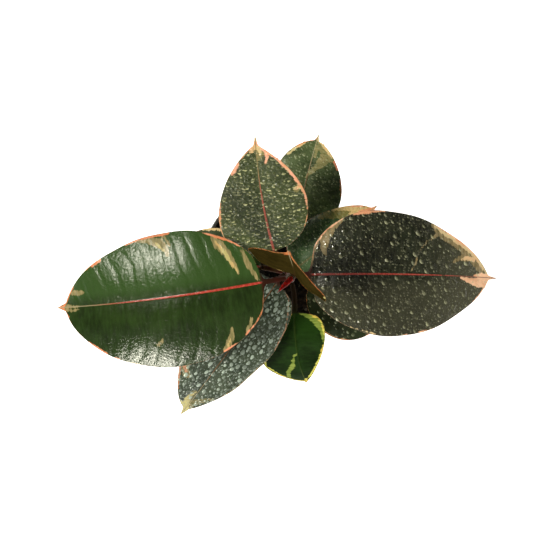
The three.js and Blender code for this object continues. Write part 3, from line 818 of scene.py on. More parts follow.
def leaf_finish(name, leaf):
    """A leathery, variegated leaf. Deep green in two shades clouds the blade, and its right half and tip
    can be painted paler, as painted light where they catch more light. Over it lie olive, then cream, then
    pink marks, whose edges are drawn out along the side veins by noise stretched that way. A thin broken
    line of pink and cream follows the margin, and the midrib is red and fades towards the tip. The
    underside is paler, and the stalk is reddish. On a wet leaf fine dew lies over it all, with a painted
    sheen on its drops and painted highlights as pale crescents on them. Bloom takes the shine off a strip
    of the left half beside the midrib."""
    finish, tree, shader = new_finish(name)
    place = object_place(tree)

    def field(label):
        return add_node(tree, "Attribute", {"attribute_name": label}).outputs["Fac"]

    blade_map = add_node(tree, "UVMap", {"uv_map": "map"}).outputs["UV"]
    streak = speckle(tree, stretch(tree, blade_map, (1.0, 0.22, 1)), 0.0026, 4, 0.65)
    cloud = speckle(tree, place, 0.02, 4)
    fine = speckle(tree, place, leaf.grain, 3, 0.6)
    ragged = sum_up(tree, "MULTIPLY_ADD", sum_up(tree, "SUBTRACT", streak, 0.5), 0.0075, 0.0)
    ragged = sum_up(tree, "MULTIPLY_ADD", sum_up(tree, "SUBTRACT", fine, 0.5), 0.0012, ragged)

    def mask(label, share=1.0, soft=0.0004):
        return ramp_up(tree, sum_up(tree, "MULTIPLY_ADD", ragged, share, field(label)), -soft, soft)

    edge_noise = speckle(tree, place, leaf.edge_patch, 2)
    margin = field("margin")

    def rim(width, low, high, soft=0.0003):
        reach = sum_up(tree, "MULTIPLY", ramp_up(tree, edge_noise, low, high), width)
        reach = sum_up(tree, "MULTIPLY_ADD", sum_up(tree, "SUBTRACT", fine, 0.5), 0.0008, reach)
        return ramp_up(tree, sum_up(tree, "SUBTRACT", margin, reach), soft, -soft)

    green = lay_over(tree, ramp_up(tree, cloud, 0.35, 0.68), leaf.deep_green, leaf.green)
    side_veins = ramp_up(tree, streak, 0.35, 0.75, 0.0, 0.35)
    green = lay_over(tree, side_veins, green, leaf.pale_green)
    across = add_node(tree, "SeparateXYZ", None, {"Vector": blade_map}).outputs["Y"]
    along = field("along")
    # Painted light: the right half and the tip are laid paler, as if they caught more light.
    green = lay_over(tree, ramp_up(tree, across, 0.0, -0.012, 0.0, leaf.right_pale), green, leaf.pale_green)
    green = lay_over(tree, ramp_up(tree, along, 0.5, 0.85, 0.0, leaf.tip_pale), green, leaf.pale_green)
    olive = lay_over(tree, ramp_up(tree, streak, 0.3, 0.7), leaf.olive_colour, leaf.olive_pale)
    cream = lay_over(tree, ramp_up(tree, cloud, 0.4, 0.62), leaf.cream_colour, leaf.cream_warm)
    pink = lay_over(tree, ramp_up(tree, edge_noise, 0.4, 0.6), leaf.pink_colour, leaf.orange_colour)
    colour = lay_over(tree, mask("olive", leaf.ragged), green, olive)
    colour = lay_over(tree, rim(leaf.cream_rim, *leaf.cream_rim_from), colour, cream)
    colour = lay_over(tree, mask("cream", leaf.ragged), colour, cream)
    colour = lay_over(tree, rim(leaf.pink_rim, *leaf.pink_rim_from), colour, pink)
    colour = lay_over(tree, mask("pink", 0.5 * leaf.ragged), colour, pink)

    rib_width = ramp_up(tree, along, 0.0, 0.9, leaf.rib_width, 0.0003)
    on_rib = ramp_up(tree, sum_up(tree, "SUBTRACT", field("rib"), rib_width), 0.0003, -0.0003)
    rib_red = lay_over(tree, ramp_up(tree, fine, 0.3, 0.7), leaf.rib_colour, leaf.rib_light)
    rib_tone = lay_over(tree, ramp_up(tree, along, *leaf.rib_fades), rib_red, leaf.rib_end)
    colour = lay_over(tree, sum_up(tree, "MULTIPLY", on_rib, leaf.rib_strength), colour, rib_tone)
    pale = lay_over(tree, ramp_up(tree, cloud, 0.3, 0.7), leaf.under_green, leaf.under_pale)
    pale = lay_over(tree, sum_up(tree, "MULTIPLY", on_rib, 0.7), pale, leaf.rib_light)
    below = sum_up(tree, "MULTIPLY", field("under"), ramp_up(tree, margin, 0.0002, 0.0012))
    colour = lay_over(tree, below, colour, pale)
    stalk = lay_over(tree, ramp_up(tree, cloud, 0.35, 0.65), leaf.stalk_red, leaf.stalk_green)
    colour = lay_over(tree, ramp_up(tree, field("stalk"), 0.15, 0.7), colour, stalk)

    wet = field("wet")
    glint = field("glint")
    bumps = sum_up(tree, "MULTIPLY_ADD", streak, leaf.streaks, fine)
    if leaf.dew_size:
        drop, crescent, strength = dew(tree, blade_map, leaf)
        upper = sum_up(tree, "SUBTRACT", 1.0, field("under"))
        upper = sum_up(tree, "MULTIPLY", upper, ramp_up(tree, along, 0.005, 0.03))
        drop = sum_up(tree, "MULTIPLY", drop, upper)
        # Painted sheen over each dew drop, and a painted highlight on its crescent.
        painted_sheen = sum_up(tree, "MULTIPLY", sum_up(tree, "MULTIPLY", drop, strength), leaf.dew_milk)
        rim_light = sum_up(tree, "MULTIPLY", crescent, strength)
        rim_light = sum_up(tree, "MULTIPLY", rim_light, leaf.dew_crescent)
        shown = sum_up(tree, "MULTIPLY", sum_up(tree, "MAXIMUM", painted_sheen, rim_light), upper)
        colour = lay_over(tree, shown, colour, leaf.glint_colour)
        bumps = sum_up(tree, "MULTIPLY_ADD", drop, 2.0, bumps)
        wet = sum_up(tree, "MAXIMUM", wet, sum_up(tree, "MULTIPLY", drop, 0.6))
    # Painted highlight: the drop pieces' glint field lays the pale glint colour on them.
    colour = lay_over(tree, glint, colour, leaf.glint_colour)
    tree.links.new(colour, shader.inputs["Base Color"])
    dry = ramp_up(tree, fine, 0.3, 0.7, leaf.gloss[0], leaf.gloss[1])
    roughness = sum_up(tree, "MULTIPLY", dry, sum_up(tree, "MULTIPLY_ADD", wet, -0.75, 1.0))
    tree.links.new(roughness, shader.inputs["Roughness"])
    shader.inputs["Specular IOR Level"].default_value = leaf.shine
    if leaf.wet_shine or leaf.bloom:
        bare = sum_up(tree, "MULTIPLY_ADD", field("stalk"), -0.8 * leaf.shine, leaf.shine)
        gleam = sum_up(tree, "MULTIPLY_ADD", wet, leaf.wet_shine, bare)
        beside = sum_up(
            tree, "MULTIPLY", ramp_up(tree, across, 0.0, 0.001), ramp_up(tree, across, 0.028, 0.015)
        )
        gleam = sum_up(tree, "MULTIPLY", gleam, sum_up(tree, "MULTIPLY_ADD", beside, -leaf.bloom, 1.0))
        tree.links.new(gleam, shader.inputs["Specular IOR Level"])
    bumps = sum_up(tree, "MULTIPLY", bumps, sum_up(tree, "SUBTRACT", 1.0, field("wet")))
    stand_out(tree, shader, bumps, leaf.wax, 0.8)
    return finish


LEAF_LOOKS = dict(
    vein_depth=0.00022, wave=0.0006, spread=0.045, edge_patch=0.02, ragged=0.7, streaks=0.8,
    grain=0.0013, wax=0.00016,
    gloss=(0.32, 0.45), shine=0.12, wet_shine=0.3, bloom=0.0,
    deep_green=(30, 40, 20), green=(46, 62, 28), pale_green=(62, 78, 40), right_pale=0.0, tip_pale=0.0,
    under_green=(104, 118, 78), under_pale=(132, 140, 98),
    olive_colour=(92, 96, 54), olive_pale=(134, 122, 76),
    cream_colour=(178, 168, 112), cream_warm=(196, 164, 112), cream_rim=0.0014,
    cream_rim_from=(0.58, 0.68),
    pink_colour=(204, 128, 100), orange_colour=(196, 120, 74), pink_rim=0.0009,
    pink_rim_from=(0.54, 0.64),
    rib_colour=(168, 50, 44), rib_light=(214, 96, 82), rib_end=(150, 140, 110), rib_fades=(0.6, 0.85),
    rib_width=0.0009, rib_strength=1.0,
    stalk_red=(66, 28, 24), stalk_green=(50, 42, 26),
    dew_size=None, dew_way=(0.0, -0.3), dew_milk=0.15, dew_crescent=0.6, glint_colour=(150, 156, 128),
    olive=[],
    cream=[],
    pink=[],
)


def grow_leaf(node, slot, **own):
    """Makes one leaf in the place of its CAD node, with its own sizes and looks, and gives it its
    finish. A look of three numbers is a colour, read as paint reads it."""
    looks = {**LEAF_LOOKS, **own}
    for look, value in looks.items():
        if isinstance(value, tuple) and len(value) == 3:
            looks[look] = paint(*value)
    leaf = SimpleNamespace(**looks)
    piece = leaf_mesh(node + "_blade", leaf)
    leaf.finish = leaf_finish(node + "_finish", leaf)
    piece.data.materials.append(leaf.finish)
    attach(piece, "root")
    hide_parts(node)
    return leaf


TRIES_PER_DROP = 6
DROP_SIDES = 10
DROP_RINGS = (0.45, 0.8, 1.0)
DROP_SINKS = 0.00012
DROPS_APART = 0.0001


def wet_leaf(
    name, leaf, count, sizes, seed, tall=0.2, painted_sheen=0.15, crescent=0.8, lit=(-0.8, -0.6), long=1.0
):
    """Water drops on the blade: domes of uneven outline, drawn at random and kept apart from each
    other. Each dome's height is a share of its radius, falling off to its rim as 1 less the square
    of the distance, and its rim is sunk into the leaf. Long draws the domes out along the blade.
    The glint field paints a pale crescent on the side that lit points to, as a painted highlight, and an
    even painted sheen over some whole drops."""
    draw = np.random.default_rng(seed)
    tries = TRIES_PER_DROP * count
    u = draw.uniform(0.04, 0.985, tries)
    side = draw.choice([-1.0, 1.0], tries)
    wide = half_width(leaf, u, side)
    reach = side * draw.uniform(0.03, 0.97, tries) * max(leaf.left, leaf.right)
    size = sizes[0] * (sizes[1] / sizes[0]) ** (draw.uniform(0, 1, tries) ** 2.2)
    fits = np.abs(reach) < wide - size * 0.9
    x, y, size = (u * leaf.blade)[fits], reach[fits], size[fits]
    order = np.argsort(-size)
    chosen = []
    for index in order:
        if len(chosen) >= count:
            break
        others = np.array(chosen, int)
        gaps = np.hypot(x[others] - x[index], y[others] - y[index]) - (size[others] + size[index])
        if len(others) == 0 or gaps.min() > DROPS_APART:
            chosen.append(index)
    x, y, size = x[chosen], y[chosen], size[chosen]
    total = len(x)
    angle = 2 * np.pi * np.arange(DROP_SIDES) / DROP_SIDES
    wobble = 1 + 0.16 * np.sin(2 * angle + draw.uniform(0, 6, (total, 1))) * draw.uniform(0, 1, (total, 1))
    three = np.sin(3 * angle + draw.uniform(0, 6, (total, 1))) * draw.uniform(0, 1, (total, 1))
    wobble = (wobble + 0.12 * three)[:, None]
    ring = np.array(DROP_RINGS)[None, :, None]
    x, y, size = x[:, None], y[:, None], size[:, None]
    px = x[..., None] + long * size[..., None] * ring * wobble * np.cos(angle)
    py = y[..., None] + size[..., None] * ring * wobble * np.sin(angle)
    per = len(DROP_RINGS) * DROP_SIDES
    px = np.hstack([px.reshape(total, per), x, x])
    py = np.hstack([py.reshape(total, per), y, y])
    rho = np.append(np.repeat(DROP_RINGS, DROP_SIDES), [0.0, 0.0])[None]
    u = np.clip(px / leaf.blade, 0, 1)
    point, out = blade_place(leaf, u, py)
    dome = tall * size * (1 - rho**2) ** 0.8 - DROP_SINKS * (rho == 1)
    dome[:, -1] = -0.0001
    lift = relief(leaf, u, py) + dome
    points = point + out * lift[..., None]
    middle = points[:, -2:-1]
    away = points - middle
    # Painted highlight: a pale crescent on the lit side of each drop, and a painted sheen over some whole
    # drops.
    toward = away @ np.array([*lit, 0.0]) / size
    rim = np.clip((toward - 0.25) / 0.5, 0, 1)
    strong = draw.uniform(0.2, 1, (total, 1)) ** 1.5
    glint = np.clip(painted_sheen * draw.uniform(0, 1, (total, 1)) ** 1.5 + crescent * rim * strong, 0, 1)
    inward = ring_faces(len(DROP_RINGS), DROP_SIDES, per, per + 1)
    outward = [face[::-1] for face in inward]
    drops = put_together(name, points, repeated(outward, total, per + 2))
    note_fields(drops, leaf, u, py, wet=np.ones_like(u), glint=glint, under=0 * u, stalk=0 * u)
    drops.data.materials.append(leaf.finish)
    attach(drops, "root")


leaf_lower_right = grow_leaf(
    "leaf_lower_right", "leaf_wet", seed=1,
    at=0.172, heading=-29, veer=0, turn=-4, stalk=0.03, blade=0.084,
    lift=50, rise=12, mid=0, tip=-25, fold=8, curl=25, roll=0,
    left=0.031, right=0.035, broad=(0.5, 0.5), base=(0.5, 0.5), apex=0.62, drip=0.004,
    # Painted shade: its greens are made darker, as the right leaf above shades it.
    deep_green=(22, 28, 16), green=(34, 42, 26), pale_green=(48, 56, 38),
)
wet_leaf("drops_lower_right", leaf_lower_right, 110, (0.0008, 0.0024), 31)

# Back leaf: the second lowest, pointing away behind the others. Its right half near the tip is olive
# and cream, with pink on the margin.
leaf_back = grow_leaf(
    "leaf_back", "leaf_wet", seed=2,
    at=0.19, heading=79.8, veer=0, turn=-6.6, stalk=0.0315, blade=0.1032,
    lift=45, rise=20, mid=5, tip=-12, fold=8, curl=25, roll=0,
    left=0.0315, right=0.0356, broad=(0.54, 0.48), base=(0.5, 0.5), apex=0.71, drip=0.0038,
    deep_green=(46, 56, 36), green=(72, 86, 56), pale_green=(92, 104, 70),
    olive_colour=(104, 106, 68), olive_pale=(138, 128, 88),
    cream_colour=(186, 172, 126), cream_warm=(204, 170, 122),
    rib_colour=(96, 78, 54), rib_light=(140, 110, 84),
    dew_size=(0.0026, 0.0032), dew_way=(-0.3, 0.1), dew_milk=0.15, dew_crescent=0.6,
    glint_colour=(150, 158, 124),
    olive=[
        [(0.98, -0.3, 1), (0.9, -0.6, 4), (0.83, -0.75, 6)],
        [(0.88, -0.8, 4), (0.79, -0.5, 5), (0.69, -0.16, 2.6), (0.61, 0.03, 1)],
        [(0.8, -0.1, 1), (0.9, -0.2, 2)],
    ],
    cream=[
        [(1, 0, 1), (0.96, -0.5, 1.6), (0.9, -0.92, 2.2), (0.84, -0.97, 1.4)],
        [(0.75, 0.93, 0.6), (0.82, 0.9, 1.4), (0.89, 0.85, 0.8)],
    ],
    pink=[
        [(0.8, -0.96, 1.6), (0.74, -0.97, 1.2)],
        [(0.66, -0.98, 0.5), (0.6, -0.985, 1), (0.5, -0.985, 0.5)],
        [(0.97, 0.5, 0.5), (0.93, 0.9, 0.7)],
    ],
)
wet_leaf("drops_back", leaf_back, 150, (0.0007, 0.0022), 32)

# Front leaf: small, glossy and dry, hanging towards the front, with yellow margins and one pale
# green stripe.
leaf_front = grow_leaf(
    "leaf_front", "leaf_glossy", seed=3,
    at=0.2, heading=266.5, veer=-26, turn=31, stalk=0.0445, blade=0.0863,
    lift=45, rise=20, mid=-25, tip=-70, fold=-4, curl=10, roll=20,
    left=0.0277, right=0.037, broad=(0.25, 0.61), base=(0.9, 0.38), apex=1, drip=0.0033,
    gloss=(0.5, 0.6), shine=0.02, wet_shine=0.0,
    deep_green=(12, 26, 5), green=(24, 46, 13), pale_green=(34, 60, 20),
    olive_colour=(84, 104, 38), olive_pale=(126, 140, 68),
    cream_colour=(196, 196, 96), cream_warm=(190, 168, 76), cream_rim=0.0006,
    cream_rim_from=(0.5, 0.62),
    pink_rim=0.0002,
    rib_colour=(34, 46, 16), rib_light=(50, 64, 24), rib_end=(90, 100, 40), rib_strength=0.45,
    # Painted shade: the stalk's colours are near black, as it stands in shade under the leaves.
    stalk_red=(34, 22, 14), stalk_green=(28, 26, 14),
    olive=[
        [(0.02, 0.57, 2.2), (0.06, 0.8, 3.6), (0.13, 0.84, 3.8), (0.22, 0.92, 2), (0.34, 0.97, 1)],
        [(0.5, -0.11, 1), (0.62, -0.2, 1.8), (0.74, -0.44, 2), (0.83, -0.64, 1.4)],
        [(0.46, 0, 0.6), (0.5, -0.12, 1)],
    ],
    cream=[
        [(0.02, 0.95, 0.4), (0.12, 0.98, 0.6), (0.28, 0.99, 0.5)],
        [(0.36, 0.985, 0.6), (0.52, 0.97, 1), (0.66, 0.92, 1), (0.84, 0.7, 0.8)],
        [(0.88, 0.3, 1.6), (0.95, 0, 1.8), (1, 0, 1.2)],
        [(0.44, -0.985, 0.5), (0.66, -0.97, 1), (0.84, -0.9, 0.9), (0.93, -0.5, 1)],
    ],
)

# Upper left leaf: small, mostly under the big left one. Only its creamy margin and base show.
leaf_upper_left = grow_leaf(
    "leaf_upper_left", "leaf_wet", seed=4,
    at=0.221, heading=168.6, veer=0, turn=-5, stalk=0.028, blade=0.084,
    lift=40, rise=10, mid=-5, tip=-25, fold=8, curl=25, roll=0,
    left=0.027, right=0.0265, broad=(0.5, 0.5), base=(0.5, 0.5), apex=0.62, drip=0.004,
    cream_colour=(228, 210, 160), cream_warm=(224, 196, 146),
    pink_rim=0.0,
    cream=[[(0.4, -1, 1), (0.58, -0.99, 2), (0.72, -0.98, 1)]],
)
wet_leaf("drops_upper_left", leaf_upper_left, 90, (0.0007, 0.002), 34)

# Upper right leaf: small, between the back leaf and the right one, with a large cream patch on its
# left margin near the tip.
leaf_upper_right = grow_leaf(
    "leaf_upper_right", "leaf_wet", seed=5,
    at=0.231, heading=38, veer=0, turn=0, stalk=0.012, blade=0.09,
    lift=60, rise=22, mid=14, tip=0, fold=14, curl=25, roll=0,
    left=0.028, right=0.028, broad=(0.32, 0.35), base=(0.4, 0.38), apex=0.62, drip=0.0036,
    deep_green=(46, 64, 40), green=(64, 88, 58), pale_green=(76, 98, 66),
    cream_colour=(200, 172, 122), cream_warm=(212, 166, 118),
    pink_colour=(214, 150, 116), orange_colour=(214, 140, 96),
    rib_colour=(70, 72, 46), rib_light=(92, 88, 60),
    stalk_red=(50, 44, 28),
    dew_size=(0.0022, 0.0022), dew_way=(-0.2, -0.2),
    olive=[[(0.5, 0.9, 2), (0.62, 0.8, 4), (0.72, 0.6, 4)]],
    cream=[
        [(0.6, 0.96, 0.4), (0.72, 0.95, 1.4), (0.8, 0.8, 3), (0.86, 0.5, 3), (0.95, 0.1, 2),
         (1, 0, 1)],
        [(0.8, 0.42, 1.6), (0.74, 0.55, 0.8)],
    ],
    pink=[
        [(0.84, 0.4, 1.6), (0.9, 0.2, 2.2), (0.97, 0, 1.6)],
        [(0.78, 0.96, 0.6), (0.9, 0.9, 0.8)],
    ],
)
wet_leaf("drops_upper_right", leaf_upper_right, 80, (0.0007, 0.002), 35)

# Lower left leaf: long, rolled on its left side, and covered in drops made pale by a painted sheen. Its tip
# is cream, and its margins are orange and olive.
leaf_lower_left = grow_leaf(
    "leaf_lower_left", "leaf_wet", seed=6,
    at=0.24, heading=235.5, veer=64, turn=-2.3, stalk=0.017, blade=0.1598,
    lift=66, rise=12, mid=-12, tip=-38, fold=14, curl=30, roll=-28,
    left=0.0389, right=0.044, broad=(0.36, 0.36), base=(0.33, 0.3), apex=0.82, drip=0.005,
    gloss=(0.42, 0.55),
    deep_green=(44, 54, 44), green=(64, 74, 60), pale_green=(58, 66, 48),
    olive_colour=(88, 92, 58), olive_pale=(128, 116, 84),
    cream_colour=(184, 176, 122), cream_warm=(170, 156, 104), cream_rim=0.0005,
    pink_colour=(190, 140, 116), orange_colour=(176, 124, 92), pink_rim=0.0005,
    rib_colour=(92, 62, 40), rib_light=(126, 90, 60), rib_width=0.0006,
    dew_size=(0.0026, 0.0017), dew_way=(0.1, -0.1), dew_milk=0.3, dew_crescent=0.35,
    glint_colour=(158, 172, 162),
    olive=[
        [(0.62, -0.95, 1), (0.66, -0.84, 3.4), (0.7, -0.72, 3), (0.7, -0.62, 1)],
        [(0.96, 0, 3), (0.9, 0.1, 3.6), (0.84, 0.5, 3), (0.8, 0.85, 1.6)],
        [(0.9, -0.5, 4), (0.8, -0.2, 3)],
        [(0.76, 0.985, 0.8), (0.6, 0.99, 0.9), (0.4, 0.99, 0.6)],
    ],
    cream=[
        [(1, 0, 1), (0.95, -0.1, 3), (0.9, -0.35, 3.4), (0.84, -0.35, 2.4), (0.8, -0.1, 1)],
        [(0.88, -0.85, 0.6), (0.94, -0.7, 1)],
    ],
    pink=[
        [(0.66, -0.97, 0.6), (0.72, -0.965, 0.9), (0.8, -0.98, 0.5)],
        [(0.66, -0.86, 1.6), (0.685, -0.74, 1)],
        [(0.02, 0.98, 0.3), (0.2, 0.985, 0.5), (0.34, 0.985, 0.3)],
    ],
)
wet_leaf("drops_lower_left", leaf_lower_left, 560, (0.0006, 0.0023), 36, painted_sheen=1.0, crescent=0.6, long=1.3)

# Upper leaf: it stands up steeply behind the stem, closely covered in fine drops, with a peach tip and
# a wide pink margin on its right.
leaf_upper = grow_leaf(
    "leaf_upper", "leaf_wet", seed=7,
    at=0.245, heading=107, veer=-40, turn=-13.3, stalk=0.043, blade=0.1226,
    lift=62, rise=48, mid=45, tip=38, fold=8, curl=20, roll=-8,
    left=0.0395, right=0.0364, broad=(0.3, 0.46), base=(0.5, 0.5), apex=0.75, drip=0.0036,
    ragged=1.0,
    gloss=(0.4, 0.5),
    deep_green=(42, 52, 28), green=(58, 68, 38), pale_green=(72, 80, 48),
    cream_colour=(196, 176, 126), cream_warm=(206, 164, 122), cream_rim=0.0008,
    pink_colour=(226, 164, 138), orange_colour=(210, 148, 108), pink_rim=0.0005,
    rib_colour=(140, 62, 50), rib_light=(176, 96, 84), rib_end=(120, 106, 66), rib_fades=(0.5, 0.8),
    rib_width=0.0010,
    dew_size=(0.0030, 0.0042), dew_way=(-0.36, 0.08), dew_milk=0.08, dew_crescent=1.0,
    glint_colour=(182, 184, 136),
    olive=[
        [(0.64, -0.98, 1), (0.6, -0.9, 2.8), (0.57, -0.82, 2.2)],
        [(0.97, -0.4, 1), (0.9, -0.3, 3.5), (0.84, -0.05, 1.5)],
    ],
    cream=[
        [(1, 0, 1), (0.965, 0, 2.2), (0.94, 0.3, 3), (0.9, 0.5, 1.6)],
        [(0.94, -0.4, 1.6), (0.9, -0.28, 1.4), (0.87, -0.2, 0.6)],
        [(0.61, -0.92, 1.2), (0.59, -0.84, 1.8)],
    ],
    pink=[
        [(0.965, -0.2, 1), (0.93, -0.8, 1.4), (0.86, -0.965, 1.2), (0.78, -0.965, 1.6),
         (0.7, -0.97, 1.3), (0.6, -0.97, 1.4), (0.5, -0.98, 0.8), (0.36, -0.99, 0.4)],
        [(0.9, -0.8, 1.6), (0.86, -0.55, 1.2), (0.81, -0.3, 0.7)],
        [(0.82, 0.95, 1.3), (0.78, 0.93, 2), (0.74, 0.94, 1.2)],
        [(0.95, 0.6, 0.5), (0.86, 0.96, 0.4)],
        [(0.5, 0.985, 0.3), (0.42, 0.975, 0.8), (0.3, 0.985, 0.3)],
    ],
)
wet_leaf("drops_upper", leaf_upper, 420, (0.0009, 0.0021), 37, crescent=0.8, lit=(0.1, -1.0))

# Right leaf: the second largest, nearly level, with clear drops of all sizes. An olive band crosses
# its base, a cream band with branches runs near its tip, and the tip is peach.
leaf_right = grow_leaf(
    "leaf_right", "leaf_wet", seed=8,
    at=0.272, heading=1.5, veer=-11, turn=-5.7, stalk=0.022, blade=0.181,
    lift=80, rise=18, mid=-14, tip=-40, fold=10, curl=34, roll=0,
    left=0.055, right=0.054, broad=(0.36, 0.43), base=(0.9, 0.3), apex=0.9, drip=0.0036,
    gloss=(0.36, 0.5),
    deep_green=(15, 18, 12), green=(27, 32, 21), pale_green=(66, 66, 52), right_pale=0.4, tip_pale=0.9,
    olive_colour=(92, 84, 56), olive_pale=(136, 120, 88),
    cream_colour=(196, 176, 134), cream_warm=(206, 170, 130), cream_rim=0.0004,
    pink_colour=(226, 182, 150), orange_colour=(206, 146, 112), pink_rim=0.0004,
    rib_colour=(130, 44, 40), rib_light=(170, 70, 62), rib_end=(120, 84, 70),
    dew_size=(0.0024, 0.0024), dew_way=(-0.2, -0.2), dew_milk=0.05, dew_crescent=0.3,
    glint_colour=(160, 162, 134),
    olive=[
        [(0.175, 1, 1.2), (0.125, 0.96, 3.4), (0.09, 0.82, 4.4), (0.085, 0.62, 3), (0.09, 0.45, 1)],
        [(0.07, 0.97, 1.2), (0.03, 0.85, 1.6), (0.02, 0.5, 1)],
        [(0.6, 0.95, 2), (0.655, 0.87, 4.2), (0.72, 0.86, 3.8), (0.8, 0.8, 4.5), (0.87, 0.62, 4.2),
         (0.93, 0.4, 2)],
        [(0.78, 0.62, 3.2), (0.74, 0.5, 2.2), (0.71, 0.35, 1.2)],
        [(0.64, 0.86, 2), (0.6, 0.74, 1), (0.565, 0.6, 0.6), (0.535, 0.45, 0.6), (0.515, 0.25, 0.6),
         (0.49, 0.06, 0.6)],
    ],
    cream=[
        [(0.61, 0.96, 0.8), (0.66, 0.92, 1.6), (0.72, 0.94, 2.2), (0.79, 0.94, 2.2), (0.87, 0.85, 1.4),
         (0.93, 0.6, 1)],
        [(0.82, 0.72, 2.4), (0.78, 0.6, 1.4), (0.75, 0.48, 0.6)],
        [(0.2, -0.995, 0.1), (0.36, -0.998, 0.1)],
    ],
    pink=[
        [(0.76, -0.04, 0.8), (0.82, -0.16, 2.8), (0.87, -0.3, 4.2), (0.91, -0.5, 4), (0.93, -0.8, 2)],
        [(0.88, -0.1, 3), (0.94, -0.2, 4), (0.98, 0, 2.2), (1, 0, 1)],
        [(0.84, 0.06, 0.8), (0.89, 0.14, 2.2), (0.94, 0.2, 2.6), (0.97, 0, 2)],
        [(0.62, 0.985, 0.4), (0.7, 0.985, 0.8), (0.84, 0.985, 0.5)],
        [(0.22, 0.99, 0.6), (0.27, 0.97, 1.4), (0.33, 0.98, 0.9), (0.37, 0.99, 0.3)],
        [(0.17, 0.995, 0.4), (0.095, 0.99, 0.6), (0.04, 0.985, 0.5), (0.005, 0.9, 0.5)],
        [(0.55, -0.985, 0.4), (0.57, -0.98, 0.8), (0.59, -0.985, 0.3)],
        [(0.47, -0.99, 0.4), (0.49, -0.985, 0.7)],
        [(0.93, -0.93, 0.5), (0.86, -0.985, 0.6), (0.84, -0.985, 0.4)],
    ],
)
wet_leaf("drops_right", leaf_right, 260, (0.0009, 0.0034), 38, tall=0.12, painted_sheen=0.03, crescent=1.0)

# Left leaf: the largest, dry and glossy, with strongly pillowed side veins. Cream and olive patches
# break in from its margin, and a thin orange line follows much of it.
leaf_left = grow_leaf(
    "leaf_left", "leaf_glossy", seed=9,
    at=0.284, heading=190.5, veer=0, turn=-6.5, stalk=0.028, blade=0.1932,
    lift=66, rise=12, mid=-12, tip=-36, fold=10, curl=34, roll=0,
    left=0.06, right=0.0552, broad=(0.446, 0.425), base=(0.48, 0.95), apex=0.69, drip=0.007,
    vein_depth=0.0004, streaks=0.1, grain=0.0021, wax=0.0005,
    gloss=(0.17, 0.27), shine=0.4, bloom=0.9,
    deep_green=(28, 40, 18), green=(38, 54, 24), pale_green=(54, 80, 38), right_pale=0.75,
    olive_colour=(108, 104, 66), olive_pale=(150, 136, 96),
    cream_rim=0.0006,
    pink_colour=(224, 150, 116), orange_colour=(206, 128, 88), pink_rim=0.0006,
    pink_rim_from=(0.64, 0.72),
    rib_colour=(146, 42, 36), rib_light=(186, 76, 64), rib_width=0.0010,
    stalk_red=(62, 20, 17), stalk_green=(44, 24, 17),
    olive=[
        [(0.55, -0.97, 1.2), (0.49, -0.93, 3), (0.44, -0.84, 4.2), (0.415, -0.72, 2.6),
         (0.405, -0.6, 1)],
        [(0.42, -0.94, 1.2), (0.39, -0.76, 0.6)],
        [(0.2, -0.93, 2), (0.178, -0.82, 4.2), (0.15, -0.68, 3.6), (0.125, -0.45, 1.8),
         (0.113, -0.28, 0.6)],
        [(0.085, -0.92, 1.2), (0.068, -0.62, 2.2), (0.05, -0.38, 1.6), (0.033, -0.14, 0.8)],
        [(0.965, -0.1, 2.4), (0.93, -0.04, 1.8), (0.87, 0, 0.4)],
        [(0.95, 0.45, 1.6), (0.91, 0.22, 1.2), (0.87, 0.1, 0.4)],
        [(0.9, -0.75, 1.6), (0.865, -0.52, 2.4), (0.83, -0.42, 1.2)],
        [(0.5, 0.66, 1.4), (0.477, 0.58, 0.9)],
        [(0.215, 0.97, 2.2), (0.185, 0.82, 2.4), (0.178, 0.68, 0.8)],
        [(0.115, 0.95, 1.6), (0.098, 0.82, 1.4), (0.09, 0.77, 0.6)],
    ],
    cream=[
        [(0.188, -0.86, 0.8), (0.165, -0.72, 1.6), (0.14, -0.52, 1.2), (0.118, -0.32, 0.6)],
        [(0.46, -0.86, 0.8), (0.42, -0.7, 1.2)],
        [(0.205, 0.93, 0.9), (0.19, 0.84, 0.7)],
    ],
    pink=[
        [(0.61, -0.985, 0.5), (0.54, -0.985, 0.7), (0.5, -0.98, 0.9), (0.45, -0.976, 1.1),
         (0.405, -0.976, 1.1), (0.395, -0.985, 0.4)],
        [(0.775, -0.965, 1.4), (0.735, -0.97, 1.6)],
        [(0.24, -0.985, 0.4), (0.2, -0.975, 1), (0.16, -0.968, 1.1), (0.12, -0.978, 0.7),
         (0.085, -0.985, 0.4)],
        [(1, 0, 1), (0.965, 0, 1.4), (0.955, -0.5, 1), (0.93, -0.9, 1.2), (0.89, -0.97, 0.7)],
        [(0.96, 0.6, 1), (0.93, 0.9, 0.7)],
        [(0.83, 0.985, 0.5), (0.745, 0.985, 0.8)],
        [(0.71, 0.99, 0.6), (0.69, 0.99, 0.6)],
        [(0.225, 0.985, 0.6), (0.19, 0.985, 0.9), (0.165, 0.99, 0.3)],
        [(0.125, 0.975, 0.6), (0.08, 0.98, 0.4), (0.03, 0.98, 0.4), (0.006, 0.9, 0.4)],
    ],
)

